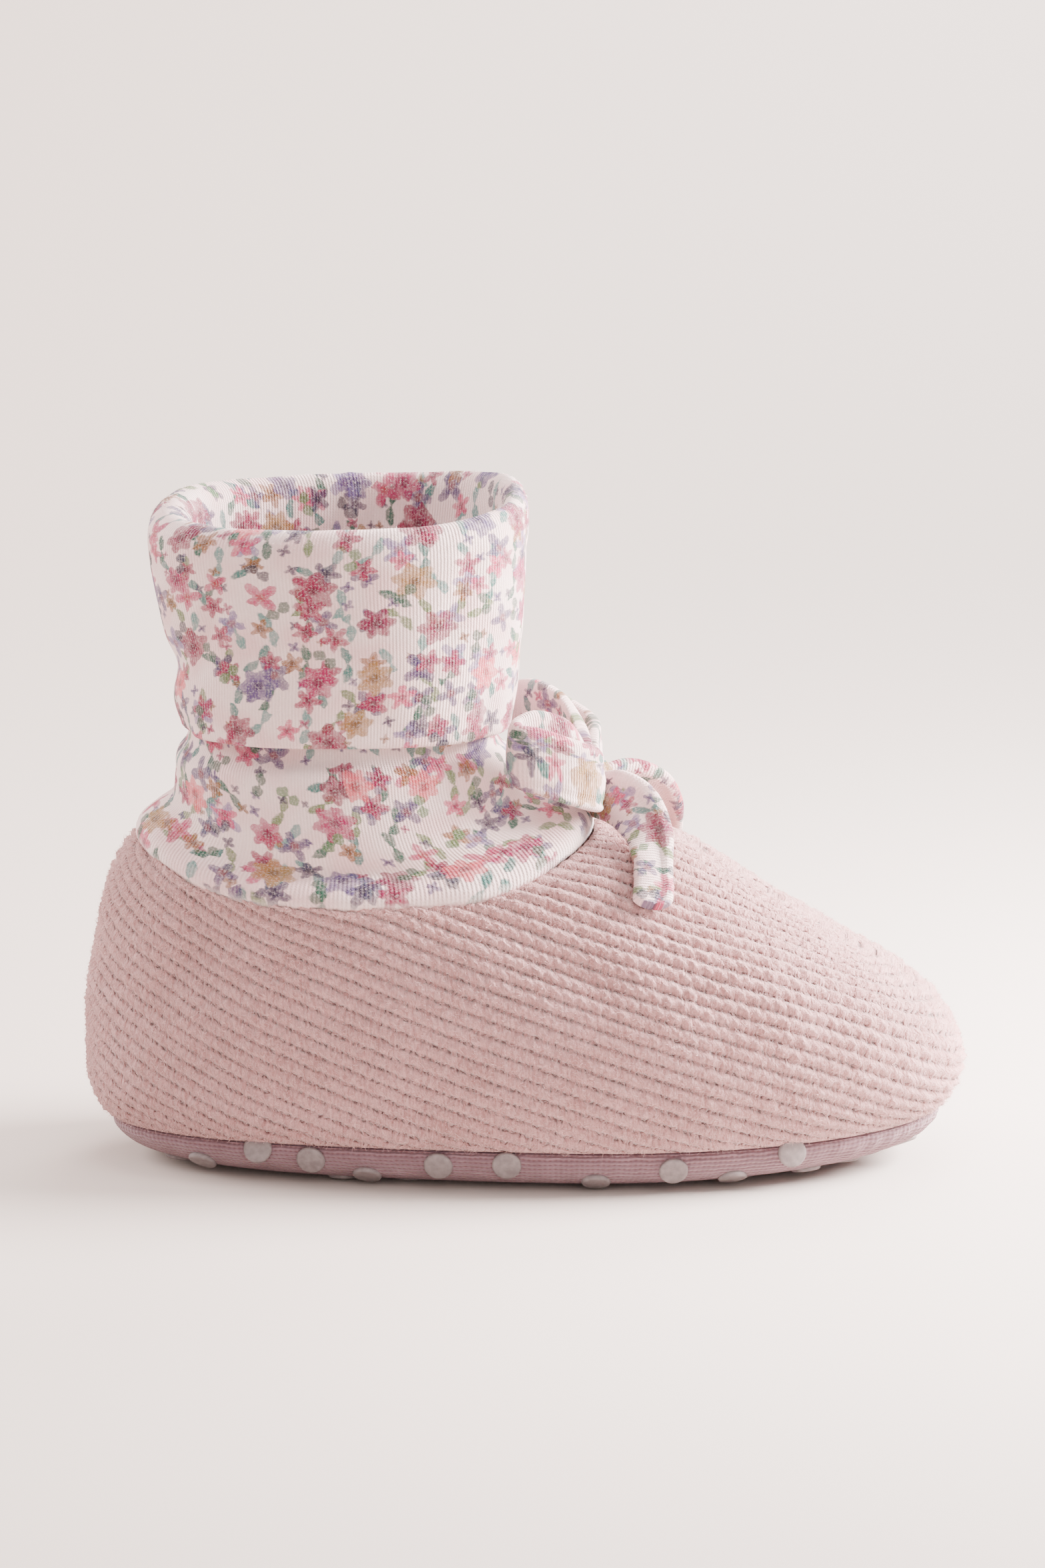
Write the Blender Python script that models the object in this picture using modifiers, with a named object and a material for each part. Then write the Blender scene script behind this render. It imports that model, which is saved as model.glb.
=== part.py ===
"""Child's bootie slipper with a printed jersey sock shaft, a turned-down cuff and a ribbon bow.

Metres, +Z up and +X to the toe. The origin is on the ground below the middle of the slipper.
Every closed section, from the sole's edge to the rim of the shaft, is one oval ring that a
table row describes. A ring starts at its toe end and runs round through +Y.
"""

import math
from collections import namedtuple

import bmesh
import bpy
from mathutils import Matrix, Vector
from mathutils.bvhtree import BVHTree

# Driving dimensions
LENGTH = 0.150  # heel bulge to toe bulge
WIDTH = 0.067  # across the padding at the ball
SOLE_THICKNESS = 0.0064  # flat of the sole to its seam at the sides
UPPER_RISE = 0.050  # sole seam to the crown of the vamp
SHAFT_RISE = 0.0566  # crown of the vamp to the top of the rim
UPPER_WALL = 0.0022
SHAFT_WALL = 0.0014
INSOLE_THICKNESS = 0.0020
CLEARANCE = 0.0003  # between pieces that touch

# Grip dots
DOT_DIAMETER = 0.0050
DOT_HEIGHT = 0.0005
DOT_PITCH = 0.0112
FIRST_DOT = -0.560  # the heel dot on the middle line, as a share of half the length
DOT_SINK = 0.0006  # how far a dot's body reaches into the sole
DOT_STEEPEST = 0.93  # a dot sits only where the sole looks down at least this much

# Collar flare and bow
SHAFT_FLARE = 0.0080
RIBBON_WIDTH = 0.0135
RIBBON_THICKNESS = 0.0022
KNOT_HEIGHT = 0.0085
KNOT_WIDTH = 0.0080
KNOT_DEPTH = 0.0070
LOOP_REACH = 0.0150
TAIL_REACH = 0.0160
TAIL_WIDTH = 0.0056
TAIL_THICKNESS = 0.0024

POINTS_AROUND = 40
RING_SHAPE = 2.35  # exponent of the ovals: 2 is an ellipse, more is squarer
END_SHAPE = 3.0  # how late a ring's height turns from its side value to its end value
BALL_START = -0.55
BALL_END = 0.40

# A ring's heel and toe are shares of half the length, its half widths are shares of half the
# width, and its heights are shares of the size that each table names.
Ring = namedtuple("Ring", "heel toe heel_half ball_half heel_z side_z toe_z")

# Heights as shares of SOLE_THICKNESS above the flat of the sole, from the seam down and in.
SOLE_RINGS = [
    Ring(-0.900, 0.907, 0.776, 0.895, 1.010, 1.000, 1.290),
    Ring(-0.908, 0.921, 0.800, 0.925, 0.760, 0.740, 1.010),
    Ring(-0.890, 0.903, 0.785, 0.905, 0.440, 0.372, 0.730),
    Ring(-0.840, 0.847, 0.720, 0.830, 0.195, 0.113, 0.470),
    Ring(-0.753, 0.740, 0.610, 0.705, 0.050, 0.016, 0.230),
    Ring(-0.640, 0.600, 0.450, 0.520, 0.000, 0.000, 0.060),
    Ring(-0.500, 0.427, 0.280, 0.330, 0.000, 0.000, 0.000),
    Ring(-0.300, 0.220, 0.120, 0.140, 0.000, 0.000, 0.000),
]
# The dished top of the sole, from its middle out towards the seam.
SOLE_TOP_RINGS = [
    Ring(-0.500, 0.500, 0.400, 0.480, 1.000, 0.980, 1.066),
    Ring(-0.845, 0.846, 0.680, 0.790, 1.010, 1.000, 1.210),
]
# Heights as shares of UPPER_RISE above the seam, from the seam up to the collar.
UPPER_RINGS = [
    Ring(-0.900, 0.907, 0.776, 0.895, 0.000, 0.000, 0.000),
    Ring(-0.962, 0.966, 0.880, 0.985, 0.028, 0.032, 0.034),
    Ring(-0.992, 0.993, 0.930, 1.012, 0.114, 0.122, 0.094),
    Ring(-1.000, 1.000, 0.935, 1.020, 0.244, 0.242, 0.184),
    Ring(-0.998, 0.979, 0.920, 1.000, 0.374, 0.382, 0.280),
    Ring(-0.989, 0.927, 0.895, 0.955, 0.514, 0.502, 0.388),
    Ring(-0.973, 0.820, 0.865, 0.880, 0.654, 0.622, 0.498),
    Ring(-0.955, 0.653, 0.845, 0.820, 0.774, 0.718, 0.644),
    Ring(-0.927, 0.473, 0.830, 0.776, 0.884, 0.782, 0.814),
    Ring(-0.896, 0.320, 0.825, 0.761, 0.954, 0.818, 0.946),
    Ring(-0.864, 0.160, 0.776, 0.740, 0.974, 0.830, 0.960),
]

# The lowest rings of the shaft, measured from the collar as shares of SHAFT_FLARE.
Flare = namedtuple("Flare", "heel_in toe_in side_in rise")
FLARE_RINGS = [
    Flare(0.12, 0.20, 0.12, -0.75),
    Flare(0.00, 0.00, 0.00, -0.06),
    Flare(-0.10, -0.10, -0.10, 0.22),
    Flare(0.14, 0.45, 0.14, 0.56),
]
# Heights as shares of SHAFT_RISE above the crown: the shaft up to the fold, the fold, and the
# cuff down to its hem. The rows give the middle of the fabric.
SHAFT_RINGS = [
    Ring(-0.787, 0.013, 0.704, 0.704, 0.100, 0.016, 0.112),
    Ring(-0.777, -0.029, 0.687, 0.687, 0.180, 0.143, 0.184),
    Ring(-0.775, -0.041, 0.675, 0.675, 0.221, 0.221, 0.221),
    Ring(-0.749, -0.075, 0.600, 0.600, 0.294, 0.294, 0.294),
    Ring(-0.752, -0.067, 0.609, 0.609, 0.513, 0.513, 0.513),
    Ring(-0.757, -0.056, 0.627, 0.627, 0.730, 0.730, 0.730),
    Ring(-0.760, -0.043, 0.665, 0.665, 0.900, 0.896, 0.922),
    Ring(-0.769, -0.037, 0.682, 0.682, 0.952, 0.949, 0.978),
    Ring(-0.795, -0.024, 0.712, 0.712, 0.976, 0.973, 1.000),
    Ring(-0.824, -0.008, 0.748, 0.748, 0.953, 0.951, 0.982),
    Ring(-0.835, -0.001, 0.764, 0.764, 0.902, 0.900, 0.930),
    Ring(-0.829, -0.003, 0.757, 0.757, 0.803, 0.797, 0.808),
    Ring(-0.812, -0.009, 0.738, 0.738, 0.676, 0.676, 0.676),
    Ring(-0.793, -0.019, 0.715, 0.715, 0.540, 0.540, 0.540),
    Ring(-0.789, -0.029, 0.698, 0.698, 0.405, 0.405, 0.405),
    Ring(-0.779, -0.039, 0.684, 0.684, 0.298, 0.298, 0.298),
]

# One lobe of the bow in plan, as shares of LOOP_REACH forward of and out from the knot's side:
# the outer leg to the closed end, then the inner leg back. Height is a share of RIBBON_WIDTH.
Lobe = namedtuple("Lobe", "forward out height lift")
LOBE = [
    Lobe(0.06, 0.00, 0.50, 0.00),
    Lobe(0.13, 0.20, 0.70, 0.08),
    Lobe(0.08, 0.52, 0.90, 0.20),
    Lobe(-0.22, 0.84, 1.00, 0.30),
    Lobe(-0.60, 0.98, 1.00, 0.38),
    Lobe(-0.84, 0.94, 0.98, 0.42),
    Lobe(-0.86, 0.76, 0.96, 0.42),
    Lobe(-0.62, 0.62, 0.94, 0.38),
    Lobe(-0.34, 0.42, 0.88, 0.28),
    Lobe(-0.20, 0.18, 0.72, 0.12),
    Lobe(-0.12, 0.00, 0.50, 0.02),
]
# A tail's middle line from the knot over the vamp: forward of the throat, out to its side and
# up from the crown, as shares of TAIL_REACH. Width is a share of TAIL_WIDTH.
Drape = namedtuple("Drape", "forward out up width tilt")
TAIL = [
    Drape(0.23, 0.12, 0.34, 1.50, 88.0),
    Drape(0.50, 0.30, 0.34, 1.60, 76.0),
    Drape(0.73, 0.52, 0.22, 1.45, 52.0),
    Drape(0.79, 0.76, 0.00, 1.15, 22.0),
    Drape(0.73, 0.96, -0.22, 1.00, 8.0),
    Drape(0.64, 1.12, -0.48, 0.96, 0.0),
    Drape(0.56, 1.24, -0.76, 1.00, -4.0),
]

HALF_LENGTH = LENGTH / 2
HALF_WIDTH = WIDTH / 2
CROWN_HEIGHT = DOT_HEIGHT + SOLE_THICKNESS + CLEARANCE + UPPER_RISE

PINK = (0.60, 0.36, 0.34)
SOLE_PINK = (0.52, 0.32, 0.32)
PRINTED_WHITE = (0.76, 0.68, 0.68)
FLEECE = (0.78, 0.66, 0.64)


def clear_scene():
    """Remove the objects of the scene that the script starts in."""
    for thing in list(bpy.data.objects):
        bpy.data.objects.remove(thing, do_unlink=True)


def new_collection(name):
    """A collection linked to the scene."""
    collection = bpy.data.collections.new(name)
    bpy.context.scene.collection.children.link(collection)
    return collection


def new_material(name, colour, roughness):
    """A fabric material: one Principled shader with no metal in it."""
    material = bpy.data.materials.new(name)
    material.use_nodes = True
    shader = material.node_tree.nodes["Principled BSDF"]
    shader.inputs["Base Color"].default_value = (*colour, 1.0)
    shader.inputs["Roughness"].default_value = roughness
    shader.inputs["Metallic"].default_value = 0.0
    return material


def signed_power(value, power):
    """A power that keeps the sign of its base."""
    return math.copysign(abs(value) ** power, value)


def smooth_step(value, start, end):
    """0 before start, 1 after end and a smooth rise between them."""
    share = min(max((value - start) / (end - start), 0.0), 1.0)
    return share * share * (3.0 - 2.0 * share)


def end_blend(along, heel, side, toe):
    """The side value along the middle of a ring, turning to the end value at each end."""
    end = toe if along > 0.0 else heel
    return side + (end - side) * abs(along) ** END_SHAPE


def ring_plan(ring):
    """Every point of a ring in plan, with its place along the ring from -1 to 1."""
    middle = (ring.heel + ring.toe) / 2 * HALF_LENGTH
    reach = (ring.toe - ring.heel) / 2 * HALF_LENGTH
    for step in range(POINTS_AROUND):
        angle = 2.0 * math.pi * step / POINTS_AROUND
        along = signed_power(math.cos(angle), 2.0 / RING_SHAPE)
        ball = smooth_step(along, BALL_START, BALL_END)
        half = ring.heel_half + (ring.ball_half - ring.heel_half) * ball
        across = signed_power(math.sin(angle), 2.0 / RING_SHAPE)
        yield middle + reach * along, half * HALF_WIDTH * across, along


def seam_height(along):
    """Height of the sole seam at a place along the sole."""
    seam = SOLE_RINGS[0]
    return DOT_HEIGHT + SOLE_THICKNESS * end_blend(along, seam.heel_z, seam.side_z, seam.toe_z)


def ring_points(ring, height_size, base):
    """A ring's points: base gives the height that the ring's own height is added to."""
    points = []
    for x, y, along in ring_plan(ring):
        share = end_blend(along, ring.heel_z, ring.side_z, ring.toe_z)
        points.append(Vector((x, y, base(along) + height_size * share)))
    return points


def between(rows, subdivisions):
    """The rows with smooth rows added between each two, by Catmull-Rom interpolation."""
    refined = []
    last = len(rows) - 1
    for index in range(last):
        p0 = rows[max(index - 1, 0)]
        p1 = rows[index]
        p2 = rows[index + 1]
        p3 = rows[min(index + 2, last)]
        for step in range(subdivisions):
            t = step / subdivisions
            values = [
                0.5 * (2 * b + (c - a) * t + (2 * a - 5 * b + 4 * c - d) * t ** 2
                       + (3 * b - a - 3 * c + d) * t ** 3)
                for a, b, c, d in zip(p0, p1, p2, p3)
            ]
            refined.append(type(p1)(*values))
    refined.append(rows[last])
    return refined


def new_object(name, mesh_builder, material, collection):
    """A named, smooth shaded object from a bmesh."""
    mesh = bpy.data.meshes.new(name)
    mesh_builder.to_mesh(mesh)
    mesh_builder.free()
    mesh.materials.append(material)
    mesh.shade_smooth()
    thing = bpy.data.objects.new(name, mesh)
    collection.objects.link(thing)
    return thing


def skin_rings(rings, closed_around=True):
    """A bmesh surface over a list of rings, with its faces looking out of the rings."""
    builder = bmesh.new()
    rows = [[builder.verts.new(point) for point in ring] for ring in rings]
    count = len(rings[0])
    spans = count if closed_around else count - 1
    for lower, upper in zip(rows, rows[1:]):
        for index in range(spans):
            after = (index + 1) % count
            builder.faces.new((lower[index], lower[after], upper[after], upper[index]))
    return builder, rows


def close_with_point(builder, row, point):
    """Close a ring of vertices with a fan of faces to one point."""
    centre = builder.verts.new(point)
    for index, vertex in enumerate(row):
        builder.faces.new((vertex, row[(index + 1) % len(row)], centre))


def ring_middle(points):
    """The middle of a ring."""
    return sum(points, Vector()) / len(points)


def add_solidify(thing, thickness, offset):
    """Give a surface its wall. Offset -1 grows the wall inward, 0 to both sides."""
    wall = thing.modifiers.new("Wall", "SOLIDIFY")
    wall.thickness = thickness
    wall.offset = offset
    wall.use_even_offset = True


def build_outsole(collection, cutters, material):
    """The sole: a rounded pad, with its grip dots joined on underneath."""
    flat = lambda along: DOT_HEIGHT
    top = [ring_points(ring, SOLE_THICKNESS, flat) for ring in SOLE_TOP_RINGS]
    side = [ring_points(ring, SOLE_THICKNESS, flat) for ring in SOLE_RINGS]
    builder, rows = skin_rings(top + side)
    close_with_point(builder, rows[0], ring_middle(top[0]))
    close_with_point(builder, rows[-1], ring_middle(side[-1]))
    bmesh.ops.recalc_face_normals(builder, faces=builder.faces)
    outsole = new_object("outsole", builder, material, collection)
    dots = build_dots(outsole, cutters, material)
    union = outsole.modifiers.new("Grip dots", "BOOLEAN")
    union.operation = "UNION"
    union.solver = "EXACT"
    union.object = dots
    return outsole


def build_dots(outsole, cutters, material):
    """All grip dots as one mesh of short cylinders.

    Each is square to the sole where it sits, and none reaches below the ground that the dots
    under the flat of the sole stand on.
    """
    bpy.context.view_layer.update()
    builder = bmesh.new()
    reach = int(LENGTH / DOT_PITCH)
    row_gap = DOT_PITCH * math.sin(math.radians(60.0))
    for row in range(-reach, reach + 1):
        for column in range(-reach, reach + 1):
            along = FIRST_DOT * HALF_LENGTH + (column + 0.5 * (row % 2)) * DOT_PITCH
            start = Vector((along, row * row_gap, -LENGTH))
            hit, point, normal, _ = outsole.ray_cast(start, Vector((0.0, 0.0, 1.0)))
            if not hit or normal.z > -DOT_STEEPEST:
                continue
            rim_drop = DOT_DIAMETER / 2 * math.sqrt(max(1.0 - normal.z ** 2, 0.0))
            height = min(DOT_HEIGHT, (point.z - rim_drop) / -normal.z)
            outer = point + normal * height
            depth = height + DOT_SINK
            turn = normal.to_track_quat("Z", "Y").to_matrix().to_4x4()
            bmesh.ops.create_cone(
                builder,
                cap_ends=True,
                segments=12,
                radius1=DOT_DIAMETER / 2,
                radius2=DOT_DIAMETER / 2,
                depth=depth,
                matrix=Matrix.Translation(outer - normal * depth / 2) @ turn,
            )
    dots = new_object("grip_dots", builder, material, cutters)
    dots.hide_render = True
    dots.display_type = "WIRE"
    return dots


def build_insole(collection, material):
    """A thin fleece pad that lies on the sole, clear of the upper's wall."""
    inset = UPPER_WALL + 4 * CLEARANCE
    edge = SOLE_TOP_RINGS[1]
    length_inset = inset / HALF_LENGTH
    width_inset = inset / HALF_WIDTH
    rim = edge._replace(
        heel=edge.heel + length_inset,
        toe=edge.toe - length_inset,
        heel_half=edge.heel_half - width_inset,
        ball_half=edge.ball_half - width_inset,
    )
    rings = []
    for lift, rows in ((CLEARANCE, [SOLE_TOP_RINGS[0], rim]),
                       (CLEARANCE + INSOLE_THICKNESS, [rim, SOLE_TOP_RINGS[0]])):
        base = lambda along, lift=lift: DOT_HEIGHT + lift
        rings += [ring_points(ring, SOLE_THICKNESS, base) for ring in rows]
    builder, rows = skin_rings(rings)
    close_with_point(builder, rows[0], ring_middle(rings[0]))
    close_with_point(builder, rows[-1], ring_middle(rings[-1]))
    bmesh.ops.recalc_face_normals(builder, faces=builder.faces)
    return new_object("insole", builder, material, collection)


def upper_rings():
    """The rings of the upper's outer skin, from the seam to the collar."""
    base = lambda along: seam_height(along) + CLEARANCE
    return [ring_points(ring, UPPER_RISE, base) for ring in between(UPPER_RINGS, 2)]


def build_upper(collection, material):
    """The padded upper: its outer skin, with the wall grown inward."""
    builder, _ = skin_rings(upper_rings())
    upper = new_object("upper", builder, material, collection)
    add_solidify(upper, UPPER_WALL, -1.0)
    return upper


def flare_points(flare):
    """A low ring of the shaft, set in from the upper's collar."""
    collar = UPPER_RINGS[-1]
    inset = CLEARANCE + 0.5 * SHAFT_WALL + 0.5 * UPPER_WALL
    half_change = (inset + flare.side_in * SHAFT_FLARE) / HALF_WIDTH
    ring = collar._replace(
        heel=collar.heel + (inset + flare.heel_in * SHAFT_FLARE) / HALF_LENGTH,
        toe=collar.toe - (inset + flare.toe_in * SHAFT_FLARE) / HALF_LENGTH,
        heel_half=collar.heel_half - half_change,
        ball_half=collar.ball_half - half_change,
    )
    rise = flare.rise * SHAFT_FLARE + CLEARANCE
    return ring_points(ring, UPPER_RISE, lambda along: seam_height(along) + rise)


def build_shaft(collection, material):
    """The jersey shaft and its turned-down cuff, one folded sheet with a wall."""
    crown = lambda along: CROWN_HEIGHT
    rings = [flare_points(flare) for flare in FLARE_RINGS]
    rings += [ring_points(ring, SHAFT_RISE, crown) for ring in SHAFT_RINGS]
    builder, _ = skin_rings(rings)
    shaft = new_object("shaft", builder, material, collection)
    add_solidify(shaft, SHAFT_WALL, 0.0)
    return shaft


def throat():
    """The front of the collar, where the bow is sewn on."""
    collar = UPPER_RINGS[-1]
    height = seam_height(1.0) + CLEARANCE + UPPER_RISE * collar.toe_z
    return Vector((collar.toe * HALF_LENGTH, 0.0, height))


def knot_middle():
    """The middle of the bow's knot, which rests on the front of the flare at the throat."""
    roll = FLARE_RINGS[2]
    lift = roll.rise * SHAFT_FLARE + SHAFT_WALL / 2 + 3 * CLEARANCE + KNOT_HEIGHT / 2
    return throat() + Vector((-0.02 * LOOP_REACH, 0.0, lift))


def build_knot(collection, material):
    """The knot: a soft cushion wrapped round the middle of the bow."""
    builder = bmesh.new()
    scale = Matrix.Diagonal((KNOT_DEPTH / 2, KNOT_WIDTH / 2, KNOT_HEIGHT / 2, 1.0))
    bmesh.ops.create_uvsphere(
        builder, u_segments=16, v_segments=10, radius=1.0,
        matrix=Matrix.Translation(knot_middle()) @ scale,
    )
    return new_object("bow_knot", builder, material, collection)


def build_loop(name, side, collection, material):
    """One lobe of the bow: a ribbon on its edge that runs out, folds and comes back."""
    start = knot_middle() + Vector((0.0, side * (KNOT_WIDTH / 2 + CLEARANCE), 0.0))
    strips = []
    for row in between(LOBE, 2):
        middle = start + Vector((
            row.forward * LOOP_REACH,
            side * row.out * LOOP_REACH,
            row.lift * RIBBON_WIDTH,
        ))
        half = Vector((0.0, 0.0, row.height * RIBBON_WIDTH / 2))
        strips.append([middle - half, middle - half / 2, middle, middle + half / 2, middle + half])
    builder, _ = skin_rings(strips, closed_around=False)
    loop = new_object(name, builder, material, collection)
    add_solidify(loop, RIBBON_THICKNESS, 0.0)
    return loop


def upper_skin():
    """The upper's outer skin, for a search of the nearest place on it."""
    builder, _ = skin_rings(upper_rings())
    builder.normal_update()
    skin = BVHTree.FromBMesh(builder)
    builder.free()
    return skin


def lay_on(skin, point, gap):
    """The point itself, or the nearest place that is a gap above the skin."""
    nearest, normal, _, _ = skin.find_nearest(point)
    height = (point - nearest).dot(normal)
    if height >= gap:
        return point
    return nearest + normal * gap


def build_tail(name, side, skin, collection, material):
    """One tail of the bow: a strip that leaves the knot and drapes over the vamp."""
    gap = TAIL_THICKNESS / 2 + CLEARANCE
    origin = throat()
    strips = []
    for row in between(TAIL, 2):
        middle = origin + Vector((
            row.forward * TAIL_REACH,
            side * row.out * TAIL_REACH,
            row.up * TAIL_REACH,
        ))
        tilt = math.radians(row.tilt)
        half = Vector((math.cos(tilt), 0.0, math.sin(tilt))) * row.width * TAIL_WIDTH / 2
        strip = [middle - half, middle, middle + half]
        strips.append([lay_on(skin, point, gap) for point in strip])
    builder, _ = skin_rings(strips, closed_around=False)
    tail = new_object(name, builder, material, collection)
    add_solidify(tail, TAIL_THICKNESS, 0.0)
    return tail


def main():
    """Build the slipper's pieces."""
    clear_scene()
    slipper = new_collection("bootie_slipper")
    cutters = new_collection("bootie_slipper_cutters")
    build_outsole(slipper, cutters, new_material("sole_jersey", SOLE_PINK, 0.90))
    build_insole(slipper, new_material("insole_fleece", FLEECE, 0.95))
    build_upper(slipper, new_material("ribbed_fleece", PINK, 0.95))
    build_shaft(slipper, new_material("printed_jersey", PRINTED_WHITE, 0.90))
    build_knot(slipper, new_material("knot_jersey", PRINTED_WHITE, 0.90))
    skin = upper_skin()
    for side_name, side in (("right", -1.0), ("left", 1.0)):
        loop_material = new_material(f"loop_{side_name}_jersey", PRINTED_WHITE, 0.90)
        build_loop(f"bow_loop_{side_name}", side, slipper, loop_material)
        tail_material = new_material(f"tail_{side_name}_jersey", PRINTED_WHITE, 0.90)
        build_tail(f"bow_tail_{side_name}", side, skin, slipper, tail_material)


main()
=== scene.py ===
"""Looks of the child's bootie slipper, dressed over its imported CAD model.

Every soft piece is a skin over oval rings like those that the CAD model is built on, at a finer
spacing, with its ribs, folds and creases moved in along the surface. Lengths are metres, and
the cloth patterns count millimetres in each piece's own UV map.
"""

import math
from functools import partial

import bpy
import numpy as np
from bpy.props import FloatProperty, StringProperty
from mathutils import Matrix, Vector, noise
from mathutils.bvhtree import BVHTree


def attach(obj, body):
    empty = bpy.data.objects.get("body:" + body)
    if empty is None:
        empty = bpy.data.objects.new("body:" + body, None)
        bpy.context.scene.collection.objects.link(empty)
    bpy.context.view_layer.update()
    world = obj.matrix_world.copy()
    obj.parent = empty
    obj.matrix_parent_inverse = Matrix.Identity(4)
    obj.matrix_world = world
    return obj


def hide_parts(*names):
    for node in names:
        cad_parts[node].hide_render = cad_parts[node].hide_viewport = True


bl_info = {
    "name": "Bootie slipper",
    "version": (1, 0, 0),
    "blender": (4, 5, 0),
    "location": "3D View > Sidebar > Slipper",
    "description": "Builds a child's bootie slipper with a ribbed upper, printed cuff and bow",
    "category": "Add Mesh",
}

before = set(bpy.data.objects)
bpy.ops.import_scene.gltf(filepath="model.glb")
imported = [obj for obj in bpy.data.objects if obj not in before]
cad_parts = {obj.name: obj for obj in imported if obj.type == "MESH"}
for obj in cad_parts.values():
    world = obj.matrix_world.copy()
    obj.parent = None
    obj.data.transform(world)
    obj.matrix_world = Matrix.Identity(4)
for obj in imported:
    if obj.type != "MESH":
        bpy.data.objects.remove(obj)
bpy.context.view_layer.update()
MM = 0.001

# The sizes of the CAD model
HALF_LENGTH = 0.075
HALF_WIDTH = 0.0335
SOLE_THICKNESS = 0.0064
UPPER_RISE = 0.050
SHAFT_RISE = 0.0566
UPPER_WALL = 0.0022
SHAFT_WALL = 0.0014
INSOLE_THICKNESS = 0.0020
CLEARANCE = 0.0003
DOT_DIAMETER = 0.0050
DOT_HEIGHT = 0.0005
DOT_PITCH = 0.0112
FIRST_DOT = -0.560
SHAFT_FLARE = 0.0080
RIBBON_WIDTH = 0.0135
RIBBON_THICKNESS = 0.0022
KNOT_HEIGHT = 0.0085
KNOT_WIDTH = 0.0080
KNOT_DEPTH = 0.0070
LOOP_REACH = 0.0150
TAIL_REACH = 0.0160
TAIL_WIDTH = 0.0056
TAIL_THICKNESS = 0.0024
# How far over the collar the bow sits, as a share of the flare
BOW_SEAT = 0.22
RING_SHAPE = 2.35
END_SHAPE = 3.0
BALL_START = -0.55
BALL_END = 0.40
CROWN_HEIGHT = DOT_HEIGHT + SOLE_THICKNESS + CLEARANCE + UPPER_RISE

# Oval rings: heel and toe as shares of half the length, half width at the heel and at the ball
# as shares of half the width, then the height at the heel, the sides and the toe. They are those
# of the CAD model, but the dressed ones stand up to 3 mm further out round the sole seam, and
# up to 1.4 mm higher at the cuff's hem.
SOLE_RINGS = [
    (-0.940, 0.944, 0.812, 0.930, 1.010, 1.000, 1.290),
    (-0.936, 0.940, 0.820, 0.942, 0.780, 0.760, 1.040),
    (-0.900, 0.908, 0.790, 0.910, 0.440, 0.372, 0.730),
    (-0.840, 0.847, 0.720, 0.830, 0.195, 0.113, 0.470),
    (-0.753, 0.740, 0.610, 0.705, 0.050, 0.016, 0.230),
    (-0.640, 0.600, 0.450, 0.520, 0.000, 0.000, 0.060),
    (-0.500, 0.427, 0.280, 0.330, 0.000, 0.000, 0.000),
    (-0.300, 0.220, 0.120, 0.140, 0.000, 0.000, 0.000),
]
SOLE_TOP_RINGS = [
    (-0.500, 0.500, 0.400, 0.480, 1.000, 0.980, 1.066),
    (-0.845, 0.846, 0.680, 0.790, 1.010, 1.000, 1.210),
]
UPPER_RINGS = [
    (-0.940, 0.944, 0.812, 0.930, 0.000, 0.000, 0.000),
    (-0.962, 0.966, 0.880, 0.985, 0.028, 0.032, 0.034),
    (-0.992, 0.993, 0.930, 1.012, 0.114, 0.122, 0.094),
    (-1.000, 1.000, 0.935, 1.020, 0.244, 0.242, 0.184),
    (-0.998, 0.979, 0.920, 1.000, 0.374, 0.382, 0.280),
    (-0.989, 0.927, 0.895, 0.955, 0.514, 0.502, 0.388),
    (-0.973, 0.820, 0.865, 0.880, 0.654, 0.622, 0.498),
    (-0.955, 0.653, 0.845, 0.820, 0.774, 0.718, 0.644),
    (-0.927, 0.473, 0.830, 0.776, 0.884, 0.782, 0.814),
    (-0.896, 0.320, 0.825, 0.761, 0.954, 0.818, 0.946),
    (-0.864, 0.160, 0.776, 0.740, 0.974, 0.830, 0.960),
]
# The dressed shaft's lowest rings, which roll out over the collar: inset at the heel, toe and
# sides, and rise, as shares of the flare.
ROLL_RINGS = [
    (0.12, 0.20, 0.12, -0.75),
    (0.02, 0.02, 0.02, 0.02),
    (-0.28, -0.12, -0.33, -0.02),
    (-0.26, -0.08, -0.30, 0.26),
    (0.10, 0.36, 0.06, 0.58),
]
SHAFT_RINGS = [
    (-0.787, 0.013, 0.704, 0.704, 0.100, 0.016, 0.112),
    (-0.777, -0.029, 0.687, 0.687, 0.180, 0.143, 0.184),
    (-0.775, -0.041, 0.675, 0.675, 0.221, 0.221, 0.221),
    (-0.749, -0.075, 0.600, 0.600, 0.294, 0.294, 0.294),
    (-0.752, -0.067, 0.609, 0.609, 0.513, 0.513, 0.513),
    (-0.757, -0.056, 0.627, 0.627, 0.730, 0.730, 0.730),
    (-0.760, -0.043, 0.665, 0.665, 0.900, 0.896, 0.922),
    (-0.769, -0.037, 0.682, 0.682, 0.952, 0.949, 0.978),
    (-0.795, -0.024, 0.712, 0.712, 0.976, 0.973, 1.000),
    (-0.824, -0.008, 0.748, 0.748, 0.953, 0.951, 0.982),
    (-0.835, -0.001, 0.764, 0.764, 0.902, 0.900, 0.930),
    (-0.829, -0.003, 0.757, 0.757, 0.803, 0.797, 0.808),
    (-0.812, -0.009, 0.738, 0.738, 0.676, 0.676, 0.676),
    (-0.793, -0.019, 0.715, 0.715, 0.540, 0.540, 0.540),
    (-0.789, -0.029, 0.698, 0.698, 0.418, 0.418, 0.418),
    (-0.779, -0.039, 0.684, 0.684, 0.322, 0.326, 0.318),
]
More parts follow.
